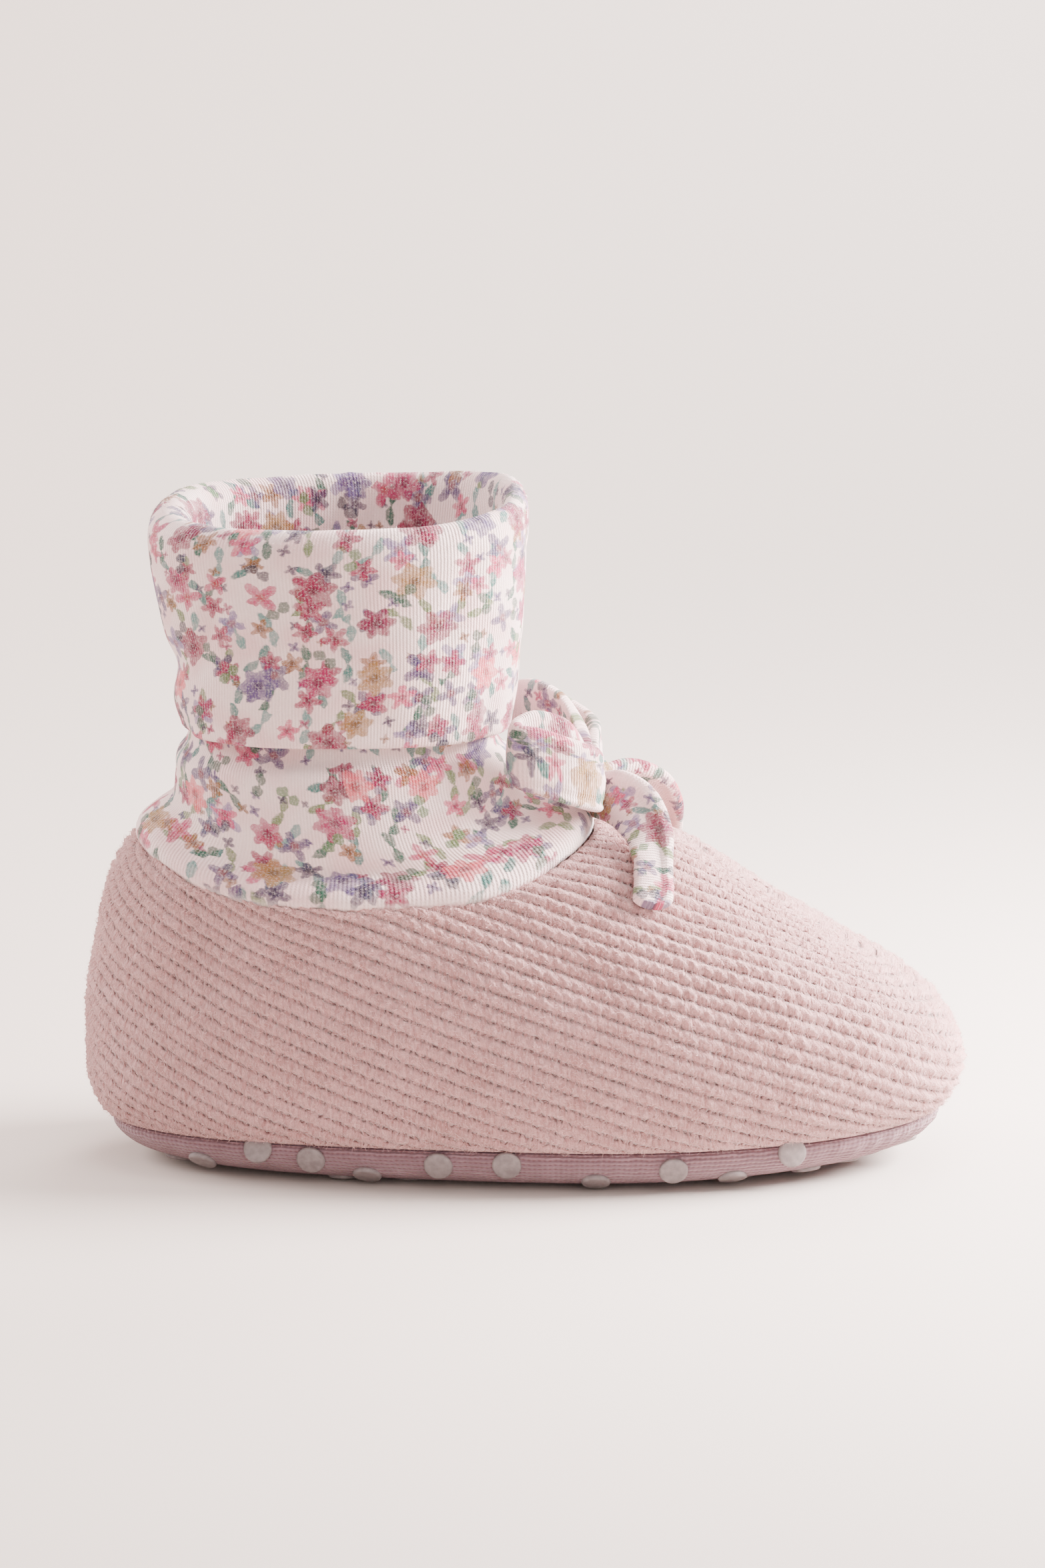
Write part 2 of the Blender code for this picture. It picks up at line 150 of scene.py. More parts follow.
# A bow loop's path from the knot: forward, out, ribbon height and lift. The inner leg stands
# higher than the outer one, so the loop closes over its hollow.
LOBE = [
    (0.00, 0.00, 0.50, 0.04),
    (0.00, 0.20, 0.72, 0.12),
    (0.00, 0.54, 0.84, 0.22),
    (-0.26, 0.84, 0.86, 0.38),
    (-0.60, 0.98, 0.86, 0.54),
    (-0.82, 0.98, 0.82, 0.60),
    (-0.86, 0.80, 0.80, 0.66),
    (-0.64, 0.62, 0.82, 0.70),
    (-0.36, 0.40, 0.80, 0.58),
    (-0.18, 0.18, 0.70, 0.36),
    (-0.08, 0.00, 0.50, 0.12),
]
# A tail's middle line from the throat: forward, out, up, width and tilt in degrees.
TAIL = [
    (-0.04, 0.10, 0.30, 1.50, 88.0),
    (0.20, 0.30, 0.34, 1.90, 74.0),
    (0.42, 0.50, 0.24, 1.85, 50.0),
    (0.56, 0.72, 0.02, 1.55, 24.0),
    (0.59, 0.94, -0.22, 1.30, 8.0),
    (0.57, 1.10, -0.48, 1.28, 0.0),
    (0.53, 1.22, -0.72, 1.26, -4.0),
]
# Creases given on both sides, in millimetres: forward, up, turn in degrees, half length,
# half width and depth. A negative depth is a ridge.
UPPER_CREASES = [
    (-58.0, 36.0, 60.0, 9.0, 2.6, 0.7),
    (-40.0, 40.0, 25.0, 12.0, 2.4, 0.5),
    (6.0, 40.0, -28.0, 16.0, 2.6, 0.6),
    (30.0, 34.0, -30.0, 14.0, 3.0, 0.4),
    (-15.0, 14.0, -6.0, 20.0, 3.2, 0.4),
]
CUFF_CREASES = [
    (-60.0, 84.0, 62.0, 8.0, 2.0, 1.3),
    (-57.0, 74.0, 100.0, 6.0, 1.8, 1.4),
    (-61.0, 78.0, 85.0, 5.0, 2.2, -0.8),
    (-53.0, 92.0, 75.0, 9.0, 1.8, 0.7),
    (-6.0, 80.0, 82.0, 12.0, 2.0, 0.8),
    (-11.0, 100.0, 70.0, 8.0, 2.0, 0.5),
    (-30.0, 102.0, 4.0, 20.0, 2.2, 0.35),
    (-42.0, 64.0, 70.0, 5.0, 1.6, 0.7),
    (-8.0, 64.0, 110.0, 5.0, 1.6, 0.8),
]
INSIDE_SEAM = [(-30.0, 98.0, 90.0, 14.0, 0.9, 0.8)]
# The ribs of the upper fall this far for each millimetre forward, at these places forward.
RIB_FALL = [(-115, 0.46), (-60, 0.44), (-30, 0.41), (0, 0.36), (35, 0.36), (50, 0.42), (62, 0.52),
            (75, 0.64)]
# Behind this place, in millimetres, the ribs turn round the heel on an arc of this radius.
HEEL_TURN = -45.0
HEEL_ARC = 28.0
# Each rib's stitches stand this share of their pitch past those of the rib below.
STITCH_SHIFT = 0.37
# Grip domes seen on the side of the sole, in millimetres: forward and up.
SIDE_DOMES = [
    (-54.5, 2.8), (-45.0, 6.2), (-36.0, 4.7), (-27.0, 7.6), (-26.5, 2.2), (-14.5, 4.6),
    (-3.0, 5.0), (12.0, 2.0), (25.0, 4.2), (35.0, 2.2), (45.0, 6.4), (55.0, 2.4),
]

# The print, in millimetres. Sprigs: pitch, offset, length, leaf width, share left out and inks.
PALE_SPRIGS = (5.6, 3.0, 6.4, 0.62, 0.08)
PALE_GREENS = [(0.0, "#44706A"), (0.3, "#668884"), (0.55, "#385C4E"), (0.8, "#6C7A54")]
DARK_SPRIGS = (8.6, 57.0, 4.2, 0.80, 0.35)
DARK_GREENS = [(0.0, "#25503C"), (0.4, "#262C3C"), (0.7, "#44703F")]
# Blossoms: pitch, offset, petals, radius, lobe depth and share left out, then inks and the eye.
BLOSSOMS = [
    ((3.4, 11.0, 4, 0.95, 0.26, 0.60), 0.95,
     [(0.0, "#4E3E6C"), (0.3, "#921C50"), (0.5, "#7E5430"), (0.75, "#362A4A")], "#2E1828"),
    ((6.6, 41.0, 4, 2.7, 0.30, 0.28), 1.0,
     [(0.0, "#483862"), (0.3, "#A82C5A"), (0.46, "#402658"), (0.72, "#76648E")], "#843410"),
    ((5.6, 77.0, 5, 2.2, 0.24, 0.34), 1.0,
     [(0.0, "#8A0440"), (0.30, "#845224"), (0.50, "#382C4C"), (0.72, "#B83C62")], "#1C0A16"),
    ((8.8, 23.0, 6, 3.2, 0.15, 0.34), 1.0,
     [(0.0, "#7A0238"), (0.30, "#967040"), (0.50, "#CC5460"), (0.66, "#544272"),
      (0.82, "#981850")], "#20040F"),
]
# Half the width of an ink's soft edge
INK_EDGE = 0.16


def signed_power(value, power):
    """A power that keeps the sign of its base."""
    return np.sign(value) * np.abs(value) ** power


def smooth_step(value, start, end):
    """0 before start, 1 after end and a smooth rise between them."""
    share = np.clip((value - start) / (end - start), 0.0, 1.0)
    return share * share * (3.0 - 2.0 * share)


def end_blend(along, heel, side, toe):
    """The side value along the middle of a ring, turning to the end value at each end."""
    end = np.where(along > 0.0, toe, heel)
    return side + (end - side) * np.abs(along) ** END_SHAPE


def along_ring(angles):
    """Place along a ring from -1 at the heel to 1 at the toe."""
    return signed_power(np.cos(angles), 2.0 / RING_SHAPE)


def seam_height(angles):
    """Height of the sole seam at each angle."""
    heel_z, side_z, toe_z = SOLE_RINGS[0][4:]
    return DOT_HEIGHT + SOLE_THICKNESS * end_blend(along_ring(angles), heel_z, side_z, toe_z)


def ring_row(ring, angles, base, rise):
    """The points of an oval ring at the angles, above base by shares of rise."""
    heel, toe, heel_half, ball_half, heel_z, side_z, toe_z = ring
    along = along_ring(angles)
    half = heel_half + (ball_half - heel_half) * smooth_step(along, BALL_START, BALL_END)
    x = ((heel + toe) / 2 + (toe - heel) / 2 * along) * HALF_LENGTH
    y = half * HALF_WIDTH * signed_power(np.sin(angles), 2.0 / RING_SHAPE)
    z = base + rise * end_blend(along, heel_z, side_z, toe_z)
    return np.stack([x, y, z], axis=-1)


def even_angles(ring, count):
    """Angles from the heel on, an even distance apart on the ring, and the ring's length."""
    fine = np.pi + np.linspace(0.0, 2.0 * np.pi, 20001)
    row = ring_row(ring, fine, 0.0, 0.0)
    run = np.concatenate([[0.0], np.cumsum(np.linalg.norm(np.diff(row, axis=0), axis=1))])
    return np.interp(np.arange(count) / count * run[-1], run, fine), run[-1]


def spline(rows, steps):
    """Smooth rows through the given ones, by Catmull-Rom interpolation."""
    rows = np.asarray(rows, dtype=float)
    ends = np.concatenate([rows[:1], rows, rows[-1:]])
    out = []
    for a, b, c, d in zip(ends, ends[1:], ends[2:], ends[3:]):
        for t in np.arange(steps) / steps:
            out.append(0.5 * (2 * b + (c - a) * t + (2 * a - 5 * b + 4 * c - d) * t ** 2
                              + (3 * b - a - 3 * c + d) * t ** 3))
    return np.array(out + [rows[-1]])


def even_rows(rows, count):
    """The same surface with its rows the same distance apart."""
    gaps = np.linalg.norm(np.diff(rows, axis=0), axis=2).mean(axis=1)
    place = np.concatenate([[0.0], np.cumsum(gaps)])
    wanted = np.linspace(0.0, place[-1], count)
    index = np.clip(np.searchsorted(place, wanted, side="right") - 1, 0, len(rows) - 2)
    share = ((wanted - place[index]) / gaps[index])[:, None, None]
    return rows[index] + (rows[index + 1] - rows[index]) * share


def unit(vectors):
    """Vectors along the last axis, each made one long."""
    return vectors / np.linalg.norm(vectors, axis=-1, keepdims=True)


def row_normals(rows):
    """Outward normals of a surface of closed rows."""
    around = np.roll(rows, -1, axis=1) - np.roll(rows, 1, axis=1)
    return unit(np.cross(around, np.gradient(rows, axis=0)))


def rows_run(rows):
    """Distance of each point from the first row, along its own column."""
    steps = np.linalg.norm(np.diff(rows, axis=0), axis=2)
    return np.concatenate([np.zeros((1, rows.shape[1])), np.cumsum(steps, axis=0)])


def soft_noise(points, size, seed, height):
    """Smooth noise up to height at points, with features of that size, both in metres."""
    values = [noise.noise(Vector(place)) for place in points.reshape(-1, 3) / size + seed]
    return np.array(values).reshape(points.shape[:-1]) * height


def crease_lift(points, creases):
    """How far the creases lift a surface at points."""
    lift = 0.0
    for x, z, turn, length, width, depth in creases:
        dx, dz = points[..., 0] / MM - x, points[..., 2] / MM - z
        c, s = math.cos(math.radians(turn)), math.sin(math.radians(turn))
        along, off = dx * c + dz * s, dz * c - dx * s
        lift = lift - depth * MM * np.exp(-(along / length) ** 2 - (off / width) ** 2)
    return lift


def add_piece(name, points, faces):
    """A new object over a mesh of points and faces."""
    mesh = bpy.data.meshes.new(name)
    mesh.from_pydata(points, [], faces)
    piece = bpy.data.objects.new(name, mesh)
    bpy.context.scene.collection.objects.link(piece)
    return piece


def quads(lines, count, line_count):
    """The faces between rows of points: their corners' rows and columns, and their numbers."""
    line, spot = np.meshgrid(np.arange(lines), np.arange(count), indexing="ij")
    corners = [(line, spot), (line, spot + 1), (line + 1, spot + 1), (line + 1, spot)]
    faces = np.stack([(a % line_count) * count + b % count for a, b in corners], axis=-1)
    return corners, faces.reshape(-1, 4).tolist()


def mesh_from_rows(name, rows, uv, ring=False):
    """A closed mesh over rows of points, with its UV map in millimetres.

    uv has one column more than rows, and with ring one row more. With ring the last row joins
    the first. Otherwise each end row closes on its middle point.
    """
    lines, count = rows.shape[:2]
    corners, faces = quads(lines if ring else lines - 1, count, lines)
    corner_uv = [np.stack([uv[a, b] for a, b in corners], axis=2).reshape(-1, 2)]
    points = rows.reshape(-1, 3).tolist()
    if not ring:
        spots = np.arange(count)
        for row, first, second in ((0, spots + 1, spots), (lines - 1, spots, spots + 1)):
            for a, b in zip(first.tolist(), second.tolist()):
                faces.append([row * count + a % count, row * count + b % count, len(points)])
            points.append(rows[row].mean(axis=0).tolist())
            middle = np.broadcast_to(uv[row].mean(axis=0), (count, 2))
            fan = np.stack([uv[row, first], uv[row, second], middle], axis=1)
            corner_uv.append(fan.reshape(-1, 2))
    piece = add_piece(name, points, faces)
    layer = piece.data.uv_layers.new(name="Cloth")
    layer.data.foreach_set("uv", np.concatenate(corner_uv).ravel())
    piece.data.shade_smooth()
    piece.data.validate()
    return piece


def grid_uv(around, along):
    """A UV array in millimetres from the length of a ring and an array of runs."""
    across = np.broadcast_to(np.linspace(0.0, around, along.shape[1]), along.shape)
    return np.stack([across, along], axis=-1) / MM


def wrap_columns(values):
    """An array with its first column repeated as one more at the end."""
    return np.concatenate([values, values[:, :1]], axis=1)


def select_only(*pieces):
    """Select these pieces and nothing else."""
    bpy.ops.object.select_all(action="DESELECT")
    for piece in pieces:
        piece.select_set(True)
        bpy.context.view_layer.objects.active = piece


def edit_whole(piece, operator, **values):
    """Run an operator of edit mode on the whole mesh of a piece."""
    select_only(piece)
    bpy.ops.object.mode_set(mode="EDIT")
    bpy.ops.mesh.select_all(action="SELECT")
    operator(**values)
    bpy.ops.object.mode_set(mode="OBJECT")


def edit_edges(piece, wanted, operator, **values):
    """Run an operator of edit mode on the edges whose two ends are both wanted."""
    points = piece.data.vertices
    for part in (*points, *piece.data.edges, *piece.data.polygons):
        part.select = False
    for edge in piece.data.edges:
        edge.select = all(wanted(points[end].co) for end in edge.vertices)
    bpy.ops.object.mode_set(mode="EDIT")
    bpy.ops.mesh.select_mode(type="EDGE")
    operator(**values)
    bpy.ops.object.mode_set(mode="OBJECT")


def finish_piece(piece, slot, materials, *replaced):
    """Give a piece its materials and hand it to the frame."""
    for material in materials:
        piece.data.materials.append(material)
    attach(piece, "root")
    if replaced:
        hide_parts(*replaced)


# Materials

# The setting that a kind of node is mostly chosen by
CHOICES = {
    "Math": "operation", "VectorMath": "operation", "MixRGB": "blend_type",
    "MapRange": "interpolation_type", "TexNoise": "noise_dimensions",
    "TexVoronoi": "voronoi_dimensions", "VectorRotate": "rotation_type",
    "ValToRGB": "interpolation",
}


def linear(hex_colour):
    """An sRGB hex colour as linear RGBA."""
    parts = [int(hex_colour[i:i + 2], 16) / 255.0 for i in (1, 3, 5)]
    return (*[p / 12.92 if p <= 0.04045 else ((p + 0.055) / 1.055) ** 2.4 for p in parts], 1.0)


def add_node(tree, kind, *values, stops=(), **named):
    """Add a node of a kind, which may be followed by its main choice, as in "Math ADD".

    values fill its inputs in order, and named ones its settings or inputs. A node given as a
    value links by its first output, and a hex colour turns linear. stops are a ramp's colours.
    """
    kind, _, choice = kind.partition(" ")
    node = tree.nodes.new("ShaderNode" + kind)
    if choice:
        setattr(node.color_ramp if stops else node, CHOICES[kind], choice)
    for index, (position, colour) in enumerate(stops):
        elements = node.color_ramp.elements
        element = elements[index] if index < 2 else elements.new(position)
        element.position, element.color = position, linear(colour)
    inputs = list(zip(node.inputs, values))
    for name, value in named.items():
        if hasattr(node, name):
            setattr(node, name, value)
        else:
            inputs.append((node.inputs[name.replace("_", " ")], value))
    for socket, value in inputs:
        if isinstance(value, bpy.types.Node):
            value = value.outputs[0]
        if isinstance(value, bpy.types.NodeSocket):
            tree.links.new(value, socket)
        else:
            socket.default_value = linear(value) if isinstance(value, str) else value
    return node


def new_material(name, roughness, sheen=0.0, sheen_tint="#FFFFFF", specular=0.25):
    """A cloth or rubber material, its shader with its constant values, and its add_node."""
    material = bpy.data.materials.new(name)
    material.use_nodes = True
    shader = material.node_tree.nodes["Principled BSDF"]
    constants = {"Roughness": roughness, "Specular IOR Level": specular, "Sheen Weight": sheen,
                 "Sheen Tint": linear(sheen_tint), "Sheen Roughness": 0.5}
    for socket, value in constants.items():
        shader.inputs[socket].default_value = value
    return material, shader, partial(add_node, material.node_tree)


def colour_shader(shader, colour, relief=None):
    """Link a colour, and a fine relief if there is one, to the shader."""
    shader.id_data.links.new(colour.outputs[0], shader.inputs["Base Color"])
    if relief:
        shader.id_data.links.new(relief.outputs[0], shader.inputs["Normal"])


def wander(node, place, scale, reach):
    """The place pushed about by soft noise, by up to half of reach each way."""
    drift = node("TexNoise 2D", place, Scale=scale, Detail=2.0)
    drift = node("VectorMath SUBTRACT", drift.outputs["Color"], (0.5, 0.5, 0.5))
    return node("VectorMath MULTIPLY_ADD", drift, reach, place)


def waves(node, run, pitch, curve="COSINE"):
    """A wave along run that repeats at each pitch."""
    return node(f"Math {curve}", node("Math MULTIPLY", run, 2.0 * math.pi / pitch))


def ribbed_fleece(settings):
    """Brushed ribbed fleece: a matte plush nap, pale on the crests, with painted shade along the
    valleys and painted pinpricks of shadow in them where the knit shows through.
    """
    material, shader, node = new_material(
        "Ribbed fleece, brushed", roughness=0.95, sheen=0.60, sheen_tint="#FBE9E6")
    uv = node("UVMap", uv_map="Cloth")
    place = node("SeparateXYZ", wander(node, uv, 0.9, (2.2, 0.55, 0.0)))
    along, girth = place.outputs[:2]
    line = node("Math ADD", node("Math DIVIDE", girth, settings.rib_pitch / MM), 0.5)
    off = node("Math SUBTRACT", node("Math FRACT", line), 0.5)
    valley = node("Math ABSOLUTE", off)
    dip = node("MapRange SMOOTHSTEP", valley, 0.26, 0.02, 0.0, 1.0)
    groove = node("MapRange SMOOTHSTEP", valley, 0.19, 0.04, 0.0, 1.0)
    shift = node("Math MULTIPLY", node("Math FLOOR", line), STITCH_SHIFT)
    # Two pinpricks of painted shade show in the valley for each stitch.
    stitch = node("Math MULTIPLY_ADD", along, 2.0 * MM / settings.lump_pitch, shift)
    wave = waves(node, stitch, 1.0)
    pin = node("MapRange SMOOTHSTEP", wave, -0.2, 0.95, 0.12, 1.0)
    fleck = node("TexNoise 2D", uv, Scale=1.4, Detail=2.0)
    fleck = node("MapRange", fleck, 0.35, 0.60, 0.15, 1.0)
    painted_valley_shade = node("Math MULTIPLY", groove, node("Math MULTIPLY", pin, fleck))
    # A fainter painted shade runs along the whole valley line.
    painted_valley_shade = node("Math MULTIPLY_ADD", dip, 0.20, painted_valley_shade)
    # The nap lies across the ribs in tufts about 0.6 mm wide.
    comb = node("VectorMath MULTIPLY", uv, (1.7, 0.55, 0.0))
    nap = node("TexNoise 2D", comb, Scale=1.0, Detail=5.0, Roughness=0.68)
    mottle = node("TexNoise", node("TexCoord").outputs["Object"], Scale=110.0, Detail=3.0)
    base = node("ValToRGB", mottle, stops=[(0.30, settings.shade_hex),
                                           (0.70, settings.colour_hex)])
    # Painted light and shade in step with the nap's relief: the raised tufts are lighter and the
    # hollows between them darker.
    tuft_shading = node("ValToRGB", nap, stops=[(0.32, "#B5898A"), (0.62, "#FFFFFF")])
    base = node("MixRGB MULTIPLY", 0.60, base, tuft_shading)
    # Painted shade: the valleys and their pinpricks turn towards the valley shade colour.
    colour = node("MixRGB", painted_valley_shade, base, settings.valley_shade_hex)
    lump = node("Math MULTIPLY", wave, -0.22)
    pit = node("Math MULTIPLY_ADD", painted_valley_shade, -1.3, lump)
    height = node("Math MULTIPLY_ADD", nap, 1.6, pit)
    colour_shader(shader, colour, node("Bump", Strength=1.0, Distance=0.55 * MM, Height=height))
    return material


def fleece_lining(name, colour_hex, shade_hex):
    """Brushed fleece for the lining and insole: short curled pile with soft clumps of 1.5 mm, and
    painted shade in the sunken gaps between the clumps.
    """
    material, shader, node = new_material(name, roughness=0.97, sheen=0.35, sheen_tint="#FFF2EE")
    place = node("TexCoord").outputs["Object"]
    clumps = node("TexVoronoi", place, Scale=700.0)
    nap = node("TexNoise", place, Scale=1700.0, Detail=3.0)
    pile = node("Math MULTIPLY", clumps, nap)
    # Painted shade: the pile is darker where the relief sinks between the clumps.
    colour = node("ValToRGB", pile, stops=[(0.05, colour_hex), (0.55, shade_hex)])
    relief = node("Bump", Strength=0.8, Distance=0.6 * MM, Height=pile, invert=True)
    colour_shader(shader, colour, relief)
    return material


def loose_fibre(slot, colour_hex):
    """Single fibres of the nap: matte and pale, with a soft glow at their edges."""
    material, shader, _ = new_material(f"Loose fibres, {slot}", roughness=0.9, sheen=0.5,
                                       sheen_tint="#FFF2EE")
    shader.inputs["Base Color"].default_value = linear(colour_hex)
    return material


def scatter(node, place, pitch, shift, randomness):
    """Loose cells about pitch apart: the place within each and its three random shares."""
    shifted = node("VectorMath ADD", place, shift)
    cells = node("TexVoronoi 2D", shifted, Scale=1.0 / pitch, Randomness=randomness)
    local = node("VectorMath SUBTRACT", shifted, cells.outputs["Position"])
    return local, node("SeparateColor", cells.outputs["Color"]).outputs


def ink_mask(node, inside, chance, keep):
    """Ink with a soft edge where inside is over 0, in the cells whose chance is over keep."""
    mask = node("MapRange SMOOTHSTEP", inside, -INK_EDGE, INK_EDGE, 0.0, 1.0)
    return node("Math MULTIPLY", mask, node("Math GREATER_THAN", chance, keep))


def blossom_layer(node, place, pitch, offset, petals, radius, lobe, keep):
    """One scatter of round blossoms: their ink, their eyes, a random share and the way in."""
    local, chance = scatter(node, place, pitch, (offset, offset * 0.7, 0.0), 0.75)
    spread = node("SeparateXYZ", local).outputs
    angle = node("Math MULTIPLY", node("Math ARCTAN2", spread[1], spread[0]), petals)
    wave = node("Math COSINE", node("Math MULTIPLY_ADD", chance[0], 40.0, angle))
    edge = node("Math MULTIPLY_ADD", wave, lobe * radius, (1.0 - lobe) * radius)
    size = node("MapRange", chance[1], keep, 1.0, 0.75, 1.15)
    edge = node("Math MULTIPLY", edge, size)
    distance = node("VectorMath LENGTH", local).outputs["Value"]
    inside = node("Math SUBTRACT", edge, distance)
    mask = ink_mask(node, inside, chance[1], keep)
    eye = node("MapRange SMOOTHSTEP", distance, radius * 0.36, radius * 0.14, 0.0, 1.0)
    return mask, node("Math MULTIPLY", eye, mask), chance[2], inside


def sprig_layer(node, place, pitch, offset, length, width, keep):
    """One scatter of leafy sprigs, a thin stem with pairs of pointed leaves."""
    local, chance = scatter(node, place, pitch, (offset, -offset * 0.6, 0.0), 0.8)
    turn = node("MapRange", chance[0], 0.0, 1.0, 0.6, 2.6)
    spread = node("SeparateXYZ", node("VectorRotate Z_AXIS", local, Angle=turn)).outputs
    bow = node("Math MULTIPLY", spread[0], spread[0])
    off = node("Math ABSOLUTE", node("Math MULTIPLY_ADD", bow, 0.07, spread[1]))
    leaves = node("Math ABSOLUTE", waves(node, spread[0], length, "SINE"))
    edge = node("Math MULTIPLY_ADD", leaves, width, 0.12)
    mask = ink_mask(node, node("Math SUBTRACT", edge, off), chance[1], keep)
    reach = node("Math ABSOLUTE", spread[0])
    short = node("MapRange", reach, length * 0.52, length * 0.44, 0.0, 1.0)
    return node("Math MULTIPLY", mask, short), chance[2]


def printed_jersey(name, settings, offset=0.0):
    """Brushed interlock jersey with a small all-over print: fine wales, and ink that soaks in."""
    material, shader, node = new_material(name, roughness=0.92, sheen=0.10)
    uv = node("UVMap", uv_map="Cloth")
    place = node("VectorMath ADD", uv, (offset, offset * 1.3, 0.0))
    # The ink bleeds along the yarns by up to 0.3 mm.
    bled = wander(node, place, 1.1, (0.55, 0.65, 0.0))
    wash = node("TexNoise 2D", place, Scale=0.55, Detail=3.0)
    wash = node("MapRange", wash, 0.30, 0.60, 0.80, 1.0)
    tint = node("TexNoise 2D", place, Scale=0.13, Detail=1.0)
    tint = node("MapRange", tint, 0.42, 0.70, 0.0, 0.45)
    colour = node("MixRGB", tint, settings.ground_hex, settings.blush_hex)
    mask, pick = sprig_layer(node, bled, *PALE_SPRIGS)
    amount = node("Math MULTIPLY", mask, wash)
    colour = node("MixRGB", amount, colour, node("ValToRGB CONSTANT", pick, stops=PALE_GREENS))
    for shape, ink, palette, eye_hex in BLOSSOMS:
        amount, eye, pick, inside = blossom_layer(node, bled, *shape)
        petal = node("ValToRGB CONSTANT", pick, stops=palette)
        # Watercolour petals are darker where the ink pools towards the middle.
        pool = node("MapRange", inside, 0.0, shape[3] * 0.7, 0.78, 1.0)
        for factor in (wash, pool, ink):
            amount = node("Math MULTIPLY", amount, factor)
        colour = node("MixRGB", amount, colour, petal)
        colour = node("MixRGB", node("Math MULTIPLY", eye, 0.5), colour, eye_hex)
    mask, pick = sprig_layer(node, bled, *DARK_SPRIGS)
    amount = node("Math MULTIPLY", mask, 0.80)
    colour = node("MixRGB", amount, colour, node("ValToRGB CONSTANT", pick, stops=DARK_GREENS))
    # Wales of the interlock stand at their pitch and its courses 0.42 mm apart.
    spread = node("SeparateXYZ", uv).outputs
    wale = waves(node, spread[0], settings.wale_pitch / MM)
    course = node("Math ADD", spread[1], node("Math MULTIPLY", wale, 0.12))
    knit = node("Math MULTIPLY_ADD", waves(node, course, 0.42), 0.35, wale)
    gap = node("MapRange", knit, -1.3, -0.1, 0.10, 0.0)
    colour = node("MixRGB", gap, colour, "#E9DEDB")
    fuzz = node("TexNoise 2D", uv, Scale=2.6, Detail=4.0, Roughness=0.7)
    speck = node("MapRange", fuzz, 0.50, 0.72, 0.0, 0.40)
    colour = node("MixRGB", speck, colour, "#F0E4E2")
    # Painted shade darkens the gaps of the knit between wales and courses; the fuzz noise adds a
    # random darker mottle.
    shade = node("MapRange", knit, -1.3, 0.4, 0.18, 0.0)
    shade = node("Math MULTIPLY_ADD", fuzz, 0.55, shade)
    colour = node("MixRGB MULTIPLY", shade, colour, "#D9C2BF")
    # The turned hem of the flare, at 7 to 10 mm of the sheet, shows the cloth's unprinted back.
    hem = node("MapRange SMOOTHSTEP", spread[1], 10.4, 9.4, 0.0, 0.42)
    hem = node("Math MULTIPLY", hem, node("MapRange", spread[1], 7.0, 7.6, 0.0, 1.0))
    colour = node("MixRGB", hem, colour, "#EBDCD8")
    height = node("Math MULTIPLY_ADD", fuzz, 2.2, knit)
    colour_shader(shader, colour, node("Bump", Strength=0.60, Distance=0.12 * MM, Height=height))
    return material


def sole_jersey(settings):
    """Fine ribbed jersey over the padded sole: courses along the seam with painted shade in the
    gaps between them, strongest near the seam.
    """
    material, shader, node = new_material(
        "Sole jersey, knitted", roughness=0.92, sheen=0.30, sheen_tint="#F0DAD8")
    uv = node("UVMap", uv_map="Cloth")
    wobble = node("TexNoise 2D", uv, Scale=0.35, Detail=2.0)
    spread = node("SeparateXYZ", uv).outputs
    down = node("Math MULTIPLY_ADD", wobble, 0.5, spread[1])
    # Courses are 0.78 mm apart and wales 0.9 mm.
    knit = node("Math MULTIPLY_ADD", waves(node, spread[0], 0.9), 0.3, waves(node, down, 0.78))
    # Painted shade in the gaps between the courses, full within 2.5 mm of the seam and fading to
    # under a third by 7 mm.
    near = node("MapRange", spread[1], 7.0, 2.5, 0.30, 1.0)
    gap = node("Math MULTIPLY", node("MapRange", knit, -0.3, -1.1, 0.0, 0.75), near)
    place = node("TexCoord").outputs["Object"]
    mottle = node("TexNoise", place, Scale=260.0, Detail=4.0)
    base = node("ValToRGB", mottle, stops=[(0.3, settings.shade_hex), (0.7, settings.colour_hex)])
    colour = node("MixRGB", gap, base, "#6E4C4E")
    fuzz = node("TexNoise", place, Scale=1800.0, Detail=3.0)
    height = node("Math MULTIPLY_ADD", fuzz, 0.9, knit)
    colour_shader(shader, colour, node("Bump", Strength=0.7, Distance=0.3 * MM, Height=height))
    return material


def grip_silicone(settings):
    """Screen-printed silicone: soft satin domes that pick up dust and scuffs."""
    material, shader, node = new_material(
        "Grip silicone, printed", roughness=0.55, specular=0.4)
    dust = node("TexNoise", node("TexCoord").outputs["Object"], Scale=900.0, Detail=4.0)
    colour = node("ValToRGB", dust, stops=[(0.35, settings.dome_hex), (0.80, "#8F8482")])
    colour_shader(shader, colour, node("Bump", Strength=0.3, Distance=0.1 * MM, Height=dust))
    return material


def sweep_paper(settings):
    """Matte studio paper, with painted shade that makes it a little darker on the left, where the
    lamps reach it less.
    """
    material, shader, node = new_material(
        "Paper sweep, matte", roughness=0.95, specular=0.1)
    place = node("SeparateXYZ", node("TexCoord").outputs["Object"])
    # Painted shade: the paper darkens towards the left.
    share = node("MapRange", place, -0.26, 0.20, 0.0, 1.0)
    stops = [(0.0, settings.shade_hex), (1.0, settings.floor_hex)]
    colour_shader(shader, node("ValToRGB", share, stops=stops))
    return material


# Pieces


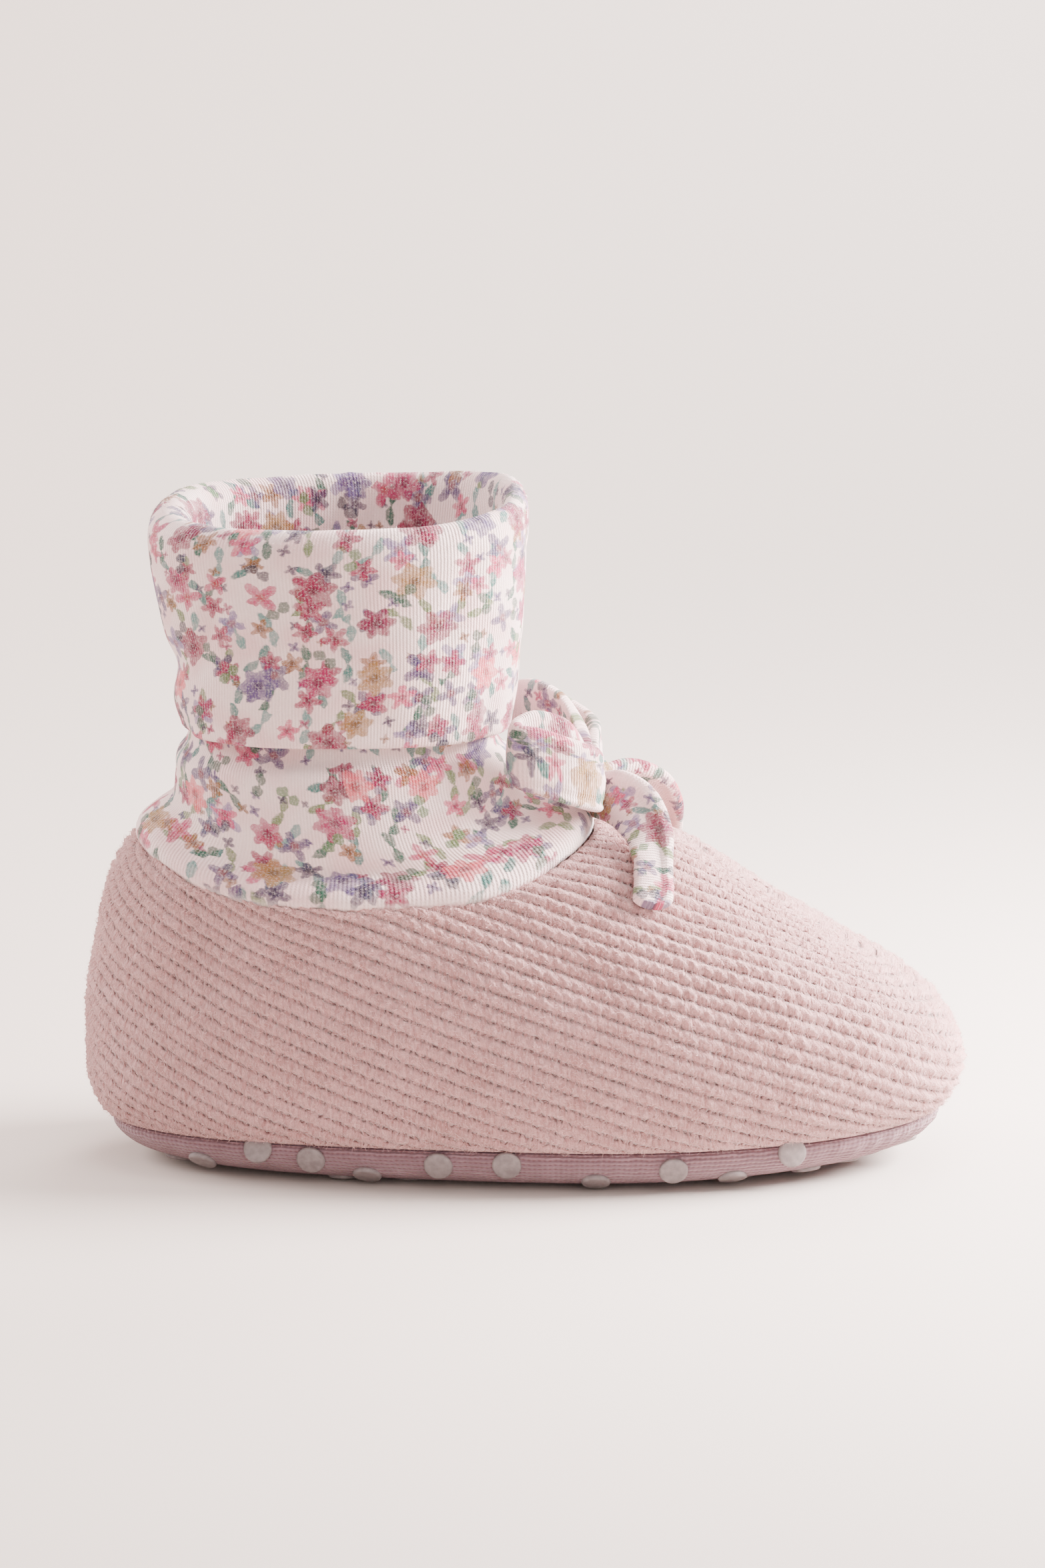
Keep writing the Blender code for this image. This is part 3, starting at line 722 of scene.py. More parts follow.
def rib_field(skin):
    """The rib coordinate and the run along a rib at the upper's outer skin, in millimetres.

    The ribs count the way up from the seam, along cross sections of the foot, and round the
    heel along the columns of the skin. They fall towards the toe.
    """
    x, y = skin[..., 0] / MM, skin[..., 1] / MM
    near = skin[:, :skin.shape[1] // 2 + 1]
    stations = np.linspace(-HALF_LENGTH, HALF_LENGTH, 401)
    cut = np.array([[np.interp(stations, row[:, 0], row[:, axis]) for axis in (1, 2)]
                    for row in near])
    steps = np.linalg.norm(np.diff(cut, axis=0), axis=1)
    girths = np.concatenate([np.zeros((1, len(stations))), np.cumsum(steps, axis=0)])
    section = np.array([np.interp(row[:, 0], stations, girth)
                        for row, girth in zip(skin, girths)])
    share = smooth_step(x, -52.0, -22.0) * (1.0 - smooth_step(x, 48.0, 71.0))
    girth = (section * share + rows_run(skin) * (1.0 - share)) / MM
    past = np.maximum(HEEL_TURN - x, 0.0)
    turned = HEEL_TURN - HEEL_ARC * np.arctan2(past, np.abs(y) + 0.01)
    run = np.where(x < HEEL_TURN, turned, x)
    places, slopes = np.array(RIB_FALL).T
    steps = np.linspace(places[0], places[-1], 800)
    slope = np.interp(steps, places, slopes)
    fall = np.concatenate([[0.0], np.cumsum((slope[1:] + slope[:-1]) / 2 * np.diff(steps))])
    return girth + np.interp(run, steps, fall), run


def build_nap(name, skin, normals, count, longest, colour_hex, slot):
    """Short loose fibres over a skin, each a thin three-sided spike."""
    rng = np.random.default_rng(12)
    line = rng.uniform(1.0, len(skin) - 1.001, count)
    spot = rng.integers(0, skin.shape[1], count)
    low = line.astype(int)
    share = (line - low)[:, None]
    roots = skin[low, spot] * (1.0 - share) + skin[low + 1, spot] * share
    out = normals[low, spot]
    lean = rng.normal(size=(count, 3))
    side = unit(np.cross(out, lean))
    way = unit(out * rng.uniform(0.25, 1.0, (count, 1)) + side * rng.uniform(0.3, 1.0, (count, 1)))
    across = unit(np.cross(way, out + 0.01 * lean))
    other = np.cross(way, across)
    length = rng.uniform(0.4 * longest, longest, (count, 1))
    radius = 0.035 * MM
    spikes = [roots + radius * (across * math.cos(turn) + other * math.sin(turn))
              for turn in (0.0, 2.0 * math.pi / 3.0, 4.0 * math.pi / 3.0)]
    points = np.stack([*spikes, roots + way * length], axis=1).reshape(-1, 3)
    corners = np.array([(0, 1, 3), (1, 2, 3), (2, 0, 3), (0, 2, 1)])
    faces = (np.arange(count)[:, None, None] * 4 + corners[None]).reshape(-1, 3)
    nap = add_piece(name, points.tolist(), faces.tolist())
    finish_piece(nap, slot, [loose_fibre(slot, colour_hex)])


def build_upper(settings):
    """The ribbed upper: outer skin, rounded rim and fleece lining as one closed mesh."""
    count, lining_rows = 700, 12
    angles, around = even_angles(UPPER_RINGS[3], count)
    base = seam_height(angles) + CLEARANCE
    smooth = spline([ring_row(ring, angles, base, UPPER_RISE) for ring in UPPER_RINGS], 24)
    skin = even_rows(smooth, 118)
    normals = row_normals(skin)
    girth, run = rib_field(skin)
    rib = girth / (settings.rib_pitch / MM)
    # Crests are rounder than valleys, and each stitch bulges a little on its crest.
    crest = (0.5 - 0.5 * np.cos(2.0 * np.pi * rib)) ** 0.6
    shift = STITCH_SHIFT * np.floor(rib + 0.5)
    stitch = np.cos(2.0 * np.pi * (run / (settings.lump_pitch / MM) + shift))
    bulge = 0.26 * MM
    rise = settings.rib_height * (crest - 0.75) + bulge * stitch * crest
    uneven = soft_noise(skin, 0.011, 0.0, 0.40 * MM) + soft_noise(skin, 0.0016, 7.0, 0.26 * MM)
    # The front seam draws the middle line in.
    seam = 0.35 * MM * np.exp(-(skin[..., 1] / (0.9 * MM)) ** 2)
    share = np.linspace(0.0, 1.0, len(skin))[:, None]
    full = smooth_step(share, 0.0, 0.03) * (1.0 - 0.6 * smooth_step(share, 0.95, 1.0))
    lift = (rise + uneven - seam) * full + crease_lift(skin, UPPER_CREASES)
    outer = skin + normals * lift[..., None]
    inner = even_rows(smooth, lining_rows)
    inner = (inner - row_normals(inner) * UPPER_WALL)[::-1]
    rim = (outer[-1:] + inner[:1]) / 2 + np.array([0.0, 0.0, 0.25 * MM])
    foot = (inner[-1:] + outer[:1]) / 2
    rows = np.concatenate([outer, rim, inner, foot])
    # The lining's own UV map only has to run on without a gap.
    drop = np.repeat(np.linspace(0.0, 70.0 * MM, lining_rows + 2)[:, None], count + 1, axis=1)
    cover = np.stack([wrap_columns(run), wrap_columns(girth)], axis=-1)
    uv = np.concatenate([cover, grid_uv(around, drop), cover[:1]])
    upper = mesh_from_rows("ribbed_upper", rows, uv, ring=True)
    lining = fleece_lining("Fleece lining, brushed", "#EBCFCB", "#C79F9B")
    finish_piece(upper, "ribbed_fleece", [ribbed_fleece(settings), lining], "upper")
    index = np.zeros(len(upper.data.polygons), dtype=np.int32)
    index[len(outer) * count:] = 1
    upper.data.polygons.foreach_set("material_index", index)
    build_nap("fleece_nap", outer, normals, count=46000, longest=1.15 * MM,
              colour_hex="#EAC0BD", slot="ribbed_fleece")


def roll_row(angles, heel_in, toe_in, side_in, rise):
    """A row of the shaft's roll over the collar, inset and raised by shares of the flare."""
    heel, toe, heel_half, ball_half, *heights = UPPER_RINGS[-1]
    seat = CLEARANCE + (SHAFT_WALL + UPPER_WALL) / 2
    side = (seat + side_in * SHAFT_FLARE) / HALF_WIDTH
    ring = (heel + (seat + heel_in * SHAFT_FLARE) / HALF_LENGTH,
            toe - (seat + toe_in * SHAFT_FLARE) / HALF_LENGTH,
            heel_half - side, ball_half - side, *heights)
    return ring_row(ring, angles, seam_height(angles) + rise * SHAFT_FLARE + CLEARANCE, UPPER_RISE)


def build_shaft(settings):
    """The printed shaft and turned-down cuff: one folded sheet of jersey with a soft hem."""
    angles, around = even_angles(SHAFT_RINGS[4], 300)
    rows = [roll_row(angles, *ring) for ring in ROLL_RINGS]
    rows += [ring_row(ring, angles, CROWN_HEIGHT, SHAFT_RISE) for ring in SHAFT_RINGS]
    sheet = even_rows(spline(rows, 16), 140)
    normals = row_normals(sheet)
    run = wrap_columns(rows_run(sheet))
    # The rim stands higher at the back and at the toe end than at the near heel side.
    top = CROWN_HEIGHT + SHAFT_RISE
    share = smooth_step(sheet[..., 2], top - 0.20 * SHAFT_RISE, top)
    middle = sheet.mean(axis=1, keepdims=True)
    forward = (sheet[..., 0] - middle[..., 0]) / HALF_WIDTH
    far = smooth_step(sheet[..., 1], -6.0 * MM, 12.0 * MM)
    rise = (0.9 + 0.9 * forward) * far + (0.8 * forward - 0.9) * (1.0 - far)
    sheet[..., 2] += share * MM * rise
    lift = soft_noise(sheet, 0.018, 3.0, 0.60 * MM) + soft_noise(sheet, 0.006, 5.0, 0.18 * MM)
    outside = (normals * (sheet - sheet.mean(axis=1, keepdims=True))).sum(axis=2) < 0.0
    # The normals of the cuff's outside point inwards. The inside seam shows on the far wall.
    lift -= np.where(outside, crease_lift(sheet, CUFF_CREASES), 0.0)
    far_wall = ~outside & (sheet[..., 1] >= 0.0)
    lift += np.where(far_wall, crease_lift(sheet, INSIDE_SEAM), 0.0)
    sheet = sheet + normals * lift[..., None]
    normals = row_normals(sheet)
    half = normals * SHAFT_WALL / 2
    edge = unit(sheet[-1] - sheet[-2]) * SHAFT_WALL / 2
    hem = [sheet[-1] + half[-1] * math.cos(turn) + edge * math.sin(turn)
           for turn in (math.pi / 4, math.pi / 2, 3 * math.pi / 4)]
    shell = np.concatenate([sheet + half, np.array(hem), (sheet - half)[::-1]])
    hem_run = np.repeat(run[-1:] + 0.4 * MM, len(hem), axis=0)
    uv = grid_uv(around, np.concatenate([run, hem_run, run[::-1], run[:1]]))
    shaft = mesh_from_rows("printed_shaft_and_cuff", shell, uv, ring=True)
    jersey = printed_jersey("Printed jersey, interlock", settings)
    finish_piece(shaft, "printed_jersey", [jersey], "shaft")
    crown = int(np.argmax(sheet[..., 2].mean(axis=1)))
    rim = slice(crown - 5, crown + 6)
    skin = sheet[rim] - half[rim]
    build_nap("rim_fibres", skin, -normals[rim], count=1300, longest=0.80 * MM,
              colour_hex="#F0DFDB", slot="printed_jersey")


def build_outsole(settings):
    """The padded sole, gathered a little at the toe, with its knitted courses along the seam."""
    count, gather_pitch = 420, 3.6
    angles, around = even_angles(SOLE_RINGS[0], count)
    top, side = [[ring_row(ring, angles, DOT_HEIGHT, SOLE_THICKNESS) for ring in rings]
                 for rings in (SOLE_TOP_RINGS, SOLE_RINGS)]
    top, side = spline(top, 3)[:-1], spline(side, 12)
    turn = np.arange(count) / count * around / MM
    toe = smooth_step(along_ring(angles), 0.62, 0.92)
    gathers = np.cos(2.0 * np.pi * turn / gather_pitch) * toe
    share = np.linspace(0.0, 1.0, len(side))[:, None]
    band = smooth_step(share, 0.02, 0.10) * (1.0 - smooth_step(share, 0.30, 0.45))
    uneven = soft_noise(side, 0.008, 2.0, 0.25 * MM)
    normals = -row_normals(side[::-1])[::-1]
    side = side - normals * ((gathers * 0.22 * MM + uneven) * band)[..., None]
    rows = np.concatenate([top, side])[::-1]
    above = np.full((len(top), count + 1), -1.0 * MM)
    runs = np.concatenate([above, wrap_columns(rows_run(side))])[::-1]
    sole = mesh_from_rows("padded_outsole", rows, grid_uv(around, runs))
    finish_piece(sole, "sole_jersey", [sole_jersey(settings)], "outsole")
    return sole


def dome_places(sole):
    """Places and normals of the grip domes: listed at the side, on the CAD's pitch below."""
    surface = BVHTree.FromPolygons([v.co for v in sole.data.vertices],
                                   [tuple(p.vertices) for p in sole.data.polygons])
    places = []
    for x, z in SIDE_DOMES:
        for side in (-1.0, 1.0):
            start = Vector((x * MM, side * 0.1, z * MM))
            point, normal, _, _ = surface.ray_cast(start, Vector((0.0, -side, 0.0)))
            if point:
                places.append((point, normal))
    shown = [point for point, _ in places]
    # Those below lie flat, and away from those at the side.
    flattest, apart = -0.86, 7.0 * MM
    row_gap = DOT_PITCH * math.sin(math.radians(60.0))
    for row in range(-4, 5):
        for column in range(-13, 14):
            along = FIRST_DOT * HALF_LENGTH + (column + 0.5 * (row % 2)) * DOT_PITCH
            start = Vector((along, row * row_gap, -0.1))
            point, normal, _, _ = surface.ray_cast(start, Vector((0.0, 0.0, 1.0)))
            if point and normal.z <= flattest:
                if min((point - other).length for other in shown) > apart:
                    places.append((point, normal))
    return places


def build_domes(settings, sole):
    """The printed grip domes: one flat-topped disc with a soft edge, copied to its places."""
    bpy.ops.object.select_all(action="DESELECT")
    bpy.ops.mesh.primitive_cylinder_add(vertices=20, radius=DOT_DIAMETER / 2,
                                        depth=2 * DOT_HEIGHT, end_fill_type="NGON")
    pattern = bpy.context.object
    bevel = pattern.modifiers.new("Soft edge", "BEVEL")
    bevel.width = 0.42 * MM
    bevel.segments = 3
    bpy.ops.object.modifier_apply(modifier=bevel.name)
    copies = []
    for point, normal in dome_places(sole):
        height = DOT_HEIGHT
        if normal.z < -0.2:
            # A dome that faces down may not pass the floor.
            rim_drop = DOT_DIAMETER / 2 * math.sqrt(max(1.0 - normal.z ** 2, 0.0))
            height = min(DOT_HEIGHT, (point.z - rim_drop) / -normal.z)
        copy = pattern.copy()
        copy.data = pattern.data.copy()
        turn = normal.to_track_quat("Z", "Y").to_matrix().to_4x4()
        copy.data.transform(Matrix.Translation(point + normal * (height - DOT_HEIGHT)) @ turn)
        bpy.context.scene.collection.objects.link(copy)
        copies.append(copy)
    bpy.data.objects.remove(pattern, do_unlink=True)
    select_only(*reversed(copies))
    bpy.ops.object.join()
    domes = bpy.context.object
    domes.name = domes.data.name = "grip_domes"
    domes.data.materials.clear()
    domes.data.shade_smooth()
    finish_piece(domes, "sole_jersey", [grip_silicone(settings)])


def build_insole():
    """The fleece insole: a thin pad with a soft edge and an uneven brushed top."""
    middle, edge = SOLE_TOP_RINGS
    angles, around = even_angles(edge, 240)
    inset = UPPER_WALL + 4 * CLEARANCE
    rim = (edge[0] + inset / HALF_LENGTH, edge[1] - inset / HALF_LENGTH,
           edge[2] - inset / HALF_WIDTH, edge[3] - inset / HALF_WIDTH, *edge[4:])
    low = DOT_HEIGHT + CLEARANCE
    high = low + INSOLE_THICKNESS
    under = [ring_row(ring, angles, low, SOLE_THICKNESS) for ring in (middle, rim)]
    over = [ring_row(ring, angles, high, SOLE_THICKNESS) for ring in (rim, middle)]
    belly = (under[1] + over[0]) / 2
    under = spline(under, 4)
    rows = np.concatenate([under, belly[None], spline(over, 10)])
    rows[len(under) + 1:, :, 2] += soft_noise(rows, 0.006, 9.0, 0.25 * MM)[len(under) + 1:]
    insole = mesh_from_rows("fleece_insole", rows, grid_uv(around, wrap_columns(rows_run(rows))))
    fleece = fleece_lining("Insole fleece, brushed", "#E9D5D0", "#BFA39E")
    finish_piece(insole, "insole_fleece", [fleece], "insole")


def throat():
    """The front of the collar, where the bow is sewn on."""
    collar = UPPER_RINGS[-1]
    height = float(seam_height(np.array([0.0]))[0]) + CLEARANCE + UPPER_RISE * collar[6]
    return np.array([collar[1] * HALF_LENGTH, 0.0, height])


def knot_middle():
    """The middle of the bow's knot."""
    lift = BOW_SEAT * SHAFT_FLARE + SHAFT_WALL / 2 + 3 * CLEARANCE + KNOT_HEIGHT / 2
    return throat() + np.array([-0.02 * LOOP_REACH, 0.0, lift])


def build_knot(settings):
    """The knot: a soft cushion of jersey with folds that run over it."""
    bpy.ops.object.select_all(action="DESELECT")
    bpy.ops.mesh.primitive_uv_sphere_add(segments=64, ring_count=40, radius=1.0)
    knot = bpy.context.object
    middle = Vector(knot_middle())
    size = Vector((KNOT_DEPTH / 2, KNOT_WIDTH / 2, KNOT_HEIGHT / 2))
    edit_whole(knot, bpy.ops.transform.resize, value=size)
    edit_whole(knot, bpy.ops.transform.translate, value=middle)
    for vertex in knot.data.vertices:
        local = vertex.co - middle
        across = local.y / size.y
        fold = math.cos(across * 7.0 + 0.8 * math.sin(local.z / size.z * 2.0))
        vertex.co = middle + local * (1.0 + 0.07 * fold * (1.0 - across ** 4))
    layer = knot.data.uv_layers.active
    layer.name = "Cloth"
    for loop in knot.data.loops:
        local = knot.data.vertices[loop.vertex_index].co - middle
        layer.data[loop.index].uv = (local.y / MM + local.x / MM, local.z / MM)
    knot.name = knot.data.name = "knot_cushion"
    knot.data.shade_smooth()
    jersey = printed_jersey("Printed jersey, knot", settings, 31.0)
    finish_piece(knot, "printed_jersey", [jersey], "bow_knot")


def ribbon(middles, faces, heights, thickness, shape):
    """A stuffed strip: flat oval sections along middles, with each point's face and level.

    faces gives each section's thin direction and heights its wide one, half the width long. The
    face is -1 or 1, and the level runs from -1 to 1 across the strip.
    """
    turn = 2.0 * np.pi * np.arange(44) / 44
    thin = signed_power(np.cos(turn), 2.0 / shape) * thickness / 2
    level = signed_power(np.sin(turn), 2.0 / 4.6)
    rows = (middles[:, None, :] + faces[:, None, :] * thin[None, :, None]
            + heights[:, None, :] * level[None, :, None])
    width = np.linalg.norm(heights, axis=1)[:, None]
    across = width * np.append(level, level[0])[None, :]
    run = np.broadcast_to(rows_run(middles[:, None, :]), across.shape)
    return rows, np.stack([run, across], axis=-1) / MM, np.sign(thin)[None, :], level[None, :]


def finish_ribbon(part, side_name, rows, uv, settings, offset):
    """Make the mesh of a loop or tail and finish it in jersey, the print moved by offset."""
    piece = mesh_from_rows(f"{part}_{side_name}", rows, uv)
    edit_whole(piece, bpy.ops.mesh.normals_make_consistent, inside=False)
    jersey = printed_jersey(f"Printed jersey, {side_name} {part}", settings, offset)
    finish_piece(piece, "printed_jersey", [jersey], f"bow_{part}_{side_name}")


def build_loop(settings, side_name, side):
    """One loop of the bow: a stuffed ribbon that runs out, folds and comes back to the knot."""
    start = knot_middle() + np.array([0.0, side * (KNOT_WIDTH / 2 + CLEARANCE), 0.0])
    forward, out, height, lift = spline(LOBE, 14).T
    middles = start + np.stack([forward * LOOP_REACH, side * out * LOOP_REACH,
                                lift * RIBBON_WIDTH], axis=-1)
    tangent = np.gradient(middles, axis=0)
    tangent[:, 2] = 0.0
    up = np.array([0.0, 0.0, 1.0])
    faces = np.cross(unit(tangent), up)
    heights = up * (height * RIBBON_WIDTH / 2)[:, None]
    rows, uv, face, level = ribbon(middles, faces, heights, 1.35 * RIBBON_THICKNESS, 2.6)
    level = level * height[:, None] / 2
    place = np.arange(len(rows))
    # Folds fan out from the knot and fade along the loop.
    gather = np.exp(-np.minimum(place, place[::-1]) / 22.0)
    folds = np.sin(level * 17.0 + 0.8 * side) * gather[:, None] * 0.60 * MM
    uneven = soft_noise(rows, 0.008, 11.0 + side, 0.5 * MM)
    # A sewn edge runs along the lower side of the ribbon.
    stitched = -0.28 * MM * np.exp(-((level + 0.30) / 0.035) ** 2)
    rows = rows + faces[:, None, :] * (folds + uneven + face * stitched)[..., None]
    if side < 0.0:
        rows, uv = rows[:, ::-1], uv[:, ::-1]
    finish_ribbon("loop", side_name, rows, uv, settings, 60.0 + 25.0 * side)


def upper_skin():
    """The upper's plain outer skin, for a search of the nearest place on it."""
    angles = np.linspace(0.0, 2.0 * np.pi, 81)[:-1]
    base = seam_height(angles) + CLEARANCE
    rows = spline([ring_row(ring, angles, base, UPPER_RISE) for ring in UPPER_RINGS], 3)
    lines, count = rows.shape[:2]
    _, faces = quads(lines - 1, count, lines)
    return BVHTree.FromPolygons([Vector(p) for p in rows.reshape(-1, 3)], faces)


def build_tail(settings, side_name, side, skin):
    """One tail of the bow: a folded strip that leaves the knot and drapes over the vamp."""
    forward, out, up, width, tilt = spline(TAIL, 14).T
    # The far tail lies a little further forward.
    forward = forward + (0.14 if side > 0.0 else 0.0) * smooth_step(out, 0.1, 0.6)
    middles = throat() + np.stack([forward, side * out, up], axis=-1) * TAIL_REACH
    turn = np.radians(tilt)
    heights = np.stack([np.cos(turn), np.zeros_like(turn), np.sin(turn)], axis=-1)
    heights = heights * (width * TAIL_WIDTH / 2)[:, None]
    gap = TAIL_THICKNESS / 2 + 2 * CLEARANCE
    edges = [middles - heights, middles + heights]
    for line in edges:
        for index, place in enumerate(line):
            nearest, normal, _, _ = skin.find_nearest(Vector(place))
            if (Vector(place) - nearest).dot(normal) < gap:
                line[index] = nearest + normal * gap
    middles = (edges[0] + edges[1]) / 2
    # The last eight sections round off the strip's end.
    last = np.clip((np.arange(len(middles)) - len(middles) + 8) / 7.0, 0.0, 1.0)
    heights = (edges[1] - edges[0]) / 2 * (0.25 + 0.75 * np.sqrt(1.0 - last ** 2))[:, None]
    faces = unit(np.cross(np.gradient(middles, axis=0), heights))
    rows, uv, face, level = ribbon(middles, faces, heights, TAIL_THICKNESS, 2.2)
    # The strip is folded double along its length, so a groove runs down its face.
    groove = -0.95 * MM * np.exp(-((level - 0.36) / 0.10) ** 2)
    push = face * groove + soft_noise(rows, 0.006, 21.0 + side, 0.4 * MM)
    rows = rows + faces[:, None, :] * push[..., None]
    finish_ribbon("tail", side_name, rows, uv, settings, 90.0 + 18.0 * side)


# Stage


def build_sweep(settings):
    """A pale sweep of paper for floor and background."""
    bpy.ops.object.select_all(action="DESELECT")
    bpy.ops.mesh.primitive_plane_add(size=1.0)
    sweep = bpy.context.object
    width, depth, height, bend = 6.0, 4.0, 3.0, 1.4
    edit_whole(sweep, bpy.ops.transform.resize, value=(width, depth, 1.0))
    edit_edges(sweep, lambda place: place.y > 0.0, bpy.ops.mesh.extrude_region_move,
               TRANSFORM_OT_translate={"value": (0.0, 0.0, height)})
    edit_edges(sweep, lambda place: place.y > 0.0 and abs(place.z) < 1e-6, bpy.ops.mesh.bevel,
               offset=bend, segments=40, profile=0.5, affect="EDGES")
    sweep.data.shade_smooth()
    sweep.name = "pale_sweep"
    sweep.data.materials.append(sweep_paper(settings))


def build_lamps(settings):
    """Soft lamps all round, each aimed at the slipper or at the wall behind it."""
    slipper = (0.0, 0.0, 0.04)
    wall = (0.15, 1.25, 0.05)
    lamps = [
        ("key_softbox", (0.34, 0.04, 0.21), 0.22, 1.0, "#FFF9F6", slipper),
        ("top_softbox", (0.20, 0.10, 1.40), 1.2, 1.2, "#FFFAF7", slipper),
        ("left_softbox", (-0.95, 0.35, 0.55), 0.8, 1.5, "#FFF4F0", slipper),
        ("front_card", (0.55, -1.20, 0.55), 1.2, 0.35, "#FFF4F0", slipper),
        ("wall_softbox", (0.35, 1.05, 0.90), 0.8, 2.0, "#FFFAF7", wall),
    ]
    for name, place, size, power, tint, aim in lamps:
        bpy.ops.object.light_add(type="AREA", location=place)
        lamp = bpy.context.object
        lamp.name = name
        lamp.data.shape = "DISK"
        lamp.data.size = size
        lamp.data.energy = settings.key_power * power
        lamp.data.color = linear(tint)[:3]
        way = Vector(aim) - Vector(place)
        lamp.rotation_euler = way.to_track_quat("-Z", "Y").to_euler()
    world = bpy.data.worlds.new("Studio air")
    world.use_nodes = True
    air = world.node_tree.nodes["Background"]
    air.inputs["Color"].default_value = linear("#F4EFEC")
    air.inputs["Strength"].default_value = settings.air_strength
    bpy.context.scene.world = world


def build_camera():
    """The camera of the photograph, set by the slipper's place and scale in it."""
    tilt = math.radians(12.0)
    distance = 1.3
    sensor = 36.0
    # The size of a pixel at the slipper, the photograph's height and its middle, and where the
    # middle of the slipper's sole shows, in pixels
    pixel = 0.1133 * MM
    height, middle_x, middle_y = 2352, 784, 1176
    sole_x, sole_y = 787, 1730
    target = Vector(((middle_x - sole_x) * pixel, 0.0,
                     (sole_y - middle_y) * pixel / math.cos(tilt)))
    location = target + Vector((0.0, -distance * math.cos(tilt), distance * math.sin(tilt)))
    bpy.ops.object.camera_add(location=location, rotation=(math.pi / 2 - tilt, 0.0, 0.0))
    camera = bpy.context.object
    camera.data.sensor_fit = "VERTICAL"
    camera.data.sensor_height = sensor
    camera.data.lens = sensor * distance / (height * pixel)
    camera.data.clip_end = 20.0
    bpy.context.scene.camera = camera


# Settings, operators and panel


class UpperSettings(bpy.types.PropertyGroup):
    """Sizes and colours of the ribbed upper."""

    rib_pitch: FloatProperty(
        name="Rib pitch", description="Distance from one rib to the next",
        default=0.00255, min=0.001, unit="LENGTH")
    rib_height: FloatProperty(
        name="Rib height", description="Depth of the valleys between ribs",
        default=0.00064, min=0.0, unit="LENGTH")
    lump_pitch: FloatProperty(
        name="Stitch pitch", description="Distance between the stitches along a rib",
        default=0.00227, min=0.0005, unit="LENGTH")
    colour_hex: StringProperty(
        name="Colour", description="Colour of the ribs, as sRGB hex", default="#E0ABA9")
    shade_hex: StringProperty(
        name="Shade", description="Darker tint in the mottle, as sRGB hex", default="#D09B98")
    # The colour of the painted shade in the valleys between the ribs
    valley_shade_hex: StringProperty(
        name="Valley", description="Colour of the stitched valleys, as sRGB hex",
        default="#64393B")


class JerseySettings(bpy.types.PropertyGroup):
    """Sizes and colours of the printed jersey."""

    ground_hex: StringProperty(
        name="Ground", description="Colour under the print, as sRGB hex", default="#E8D0CE")
    blush_hex: StringProperty(
        name="Blush", description="Soft tint in the ground, as sRGB hex", default="#D9A5A7")
    wale_pitch: FloatProperty(
        name="Wale pitch", description="Distance between the wales of the knit",
        default=0.00049, min=0.0002, unit="LENGTH")


class SoleSettings(bpy.types.PropertyGroup):
    """Colours of the sole and its grip domes."""

    colour_hex: StringProperty(
        name="Colour", description="Colour of the sole jersey, as sRGB hex", default="#90727A")
    shade_hex: StringProperty(
        name="Shade", description="Darker tint in the mottle, as sRGB hex", default="#80636A")
    dome_hex: StringProperty(
        name="Domes", description="Colour of the grip domes, as sRGB hex", default="#75696A")


class StageSettings(bpy.types.PropertyGroup):
    """Floor colour and light of the studio."""

    floor_hex: StringProperty(
        name="Floor", description="Colour of the paper sweep, as sRGB hex", default="#D0C5C0")
    # The colour of the painted shade on the floor's left side
    shade_hex: StringProperty(
        name="Floor shade", description="Its darker left side, as sRGB hex", default="#C7B8B0")
    key_power: FloatProperty(
        name="Key power", description="Power of the key lamp", default=16.0, min=0.0,
        unit="POWER")
    air_strength: FloatProperty(
        name="Fill light", description="Strength of the light from all round", default=1.34,
        min=0.0)


class SLIPPER_OT_upper(bpy.types.Operator):
    """Build the ribbed upper with its fleece lining"""

    bl_idname = "slipper.upper"
    bl_label = "Ribbed upper"

    def execute(self, context):
        build_upper(context.scene.slipper_upper)
        return {"FINISHED"}


class SLIPPER_OT_shaft(bpy.types.Operator):
    """Build the printed shaft and its turned-down cuff"""

    bl_idname = "slipper.shaft"
    bl_label = "Shaft and cuff"

    def execute(self, context):
        build_shaft(context.scene.slipper_jersey)
        return {"FINISHED"}


class SLIPPER_OT_sole(bpy.types.Operator):
    """Build the padded outsole, its grip domes and the insole"""

    bl_idname = "slipper.sole"
    bl_label = "Sole, domes and insole"

    def execute(self, context):
        sole = build_outsole(context.scene.slipper_sole)
        build_domes(context.scene.slipper_sole, sole)
        build_insole()
        return {"FINISHED"}


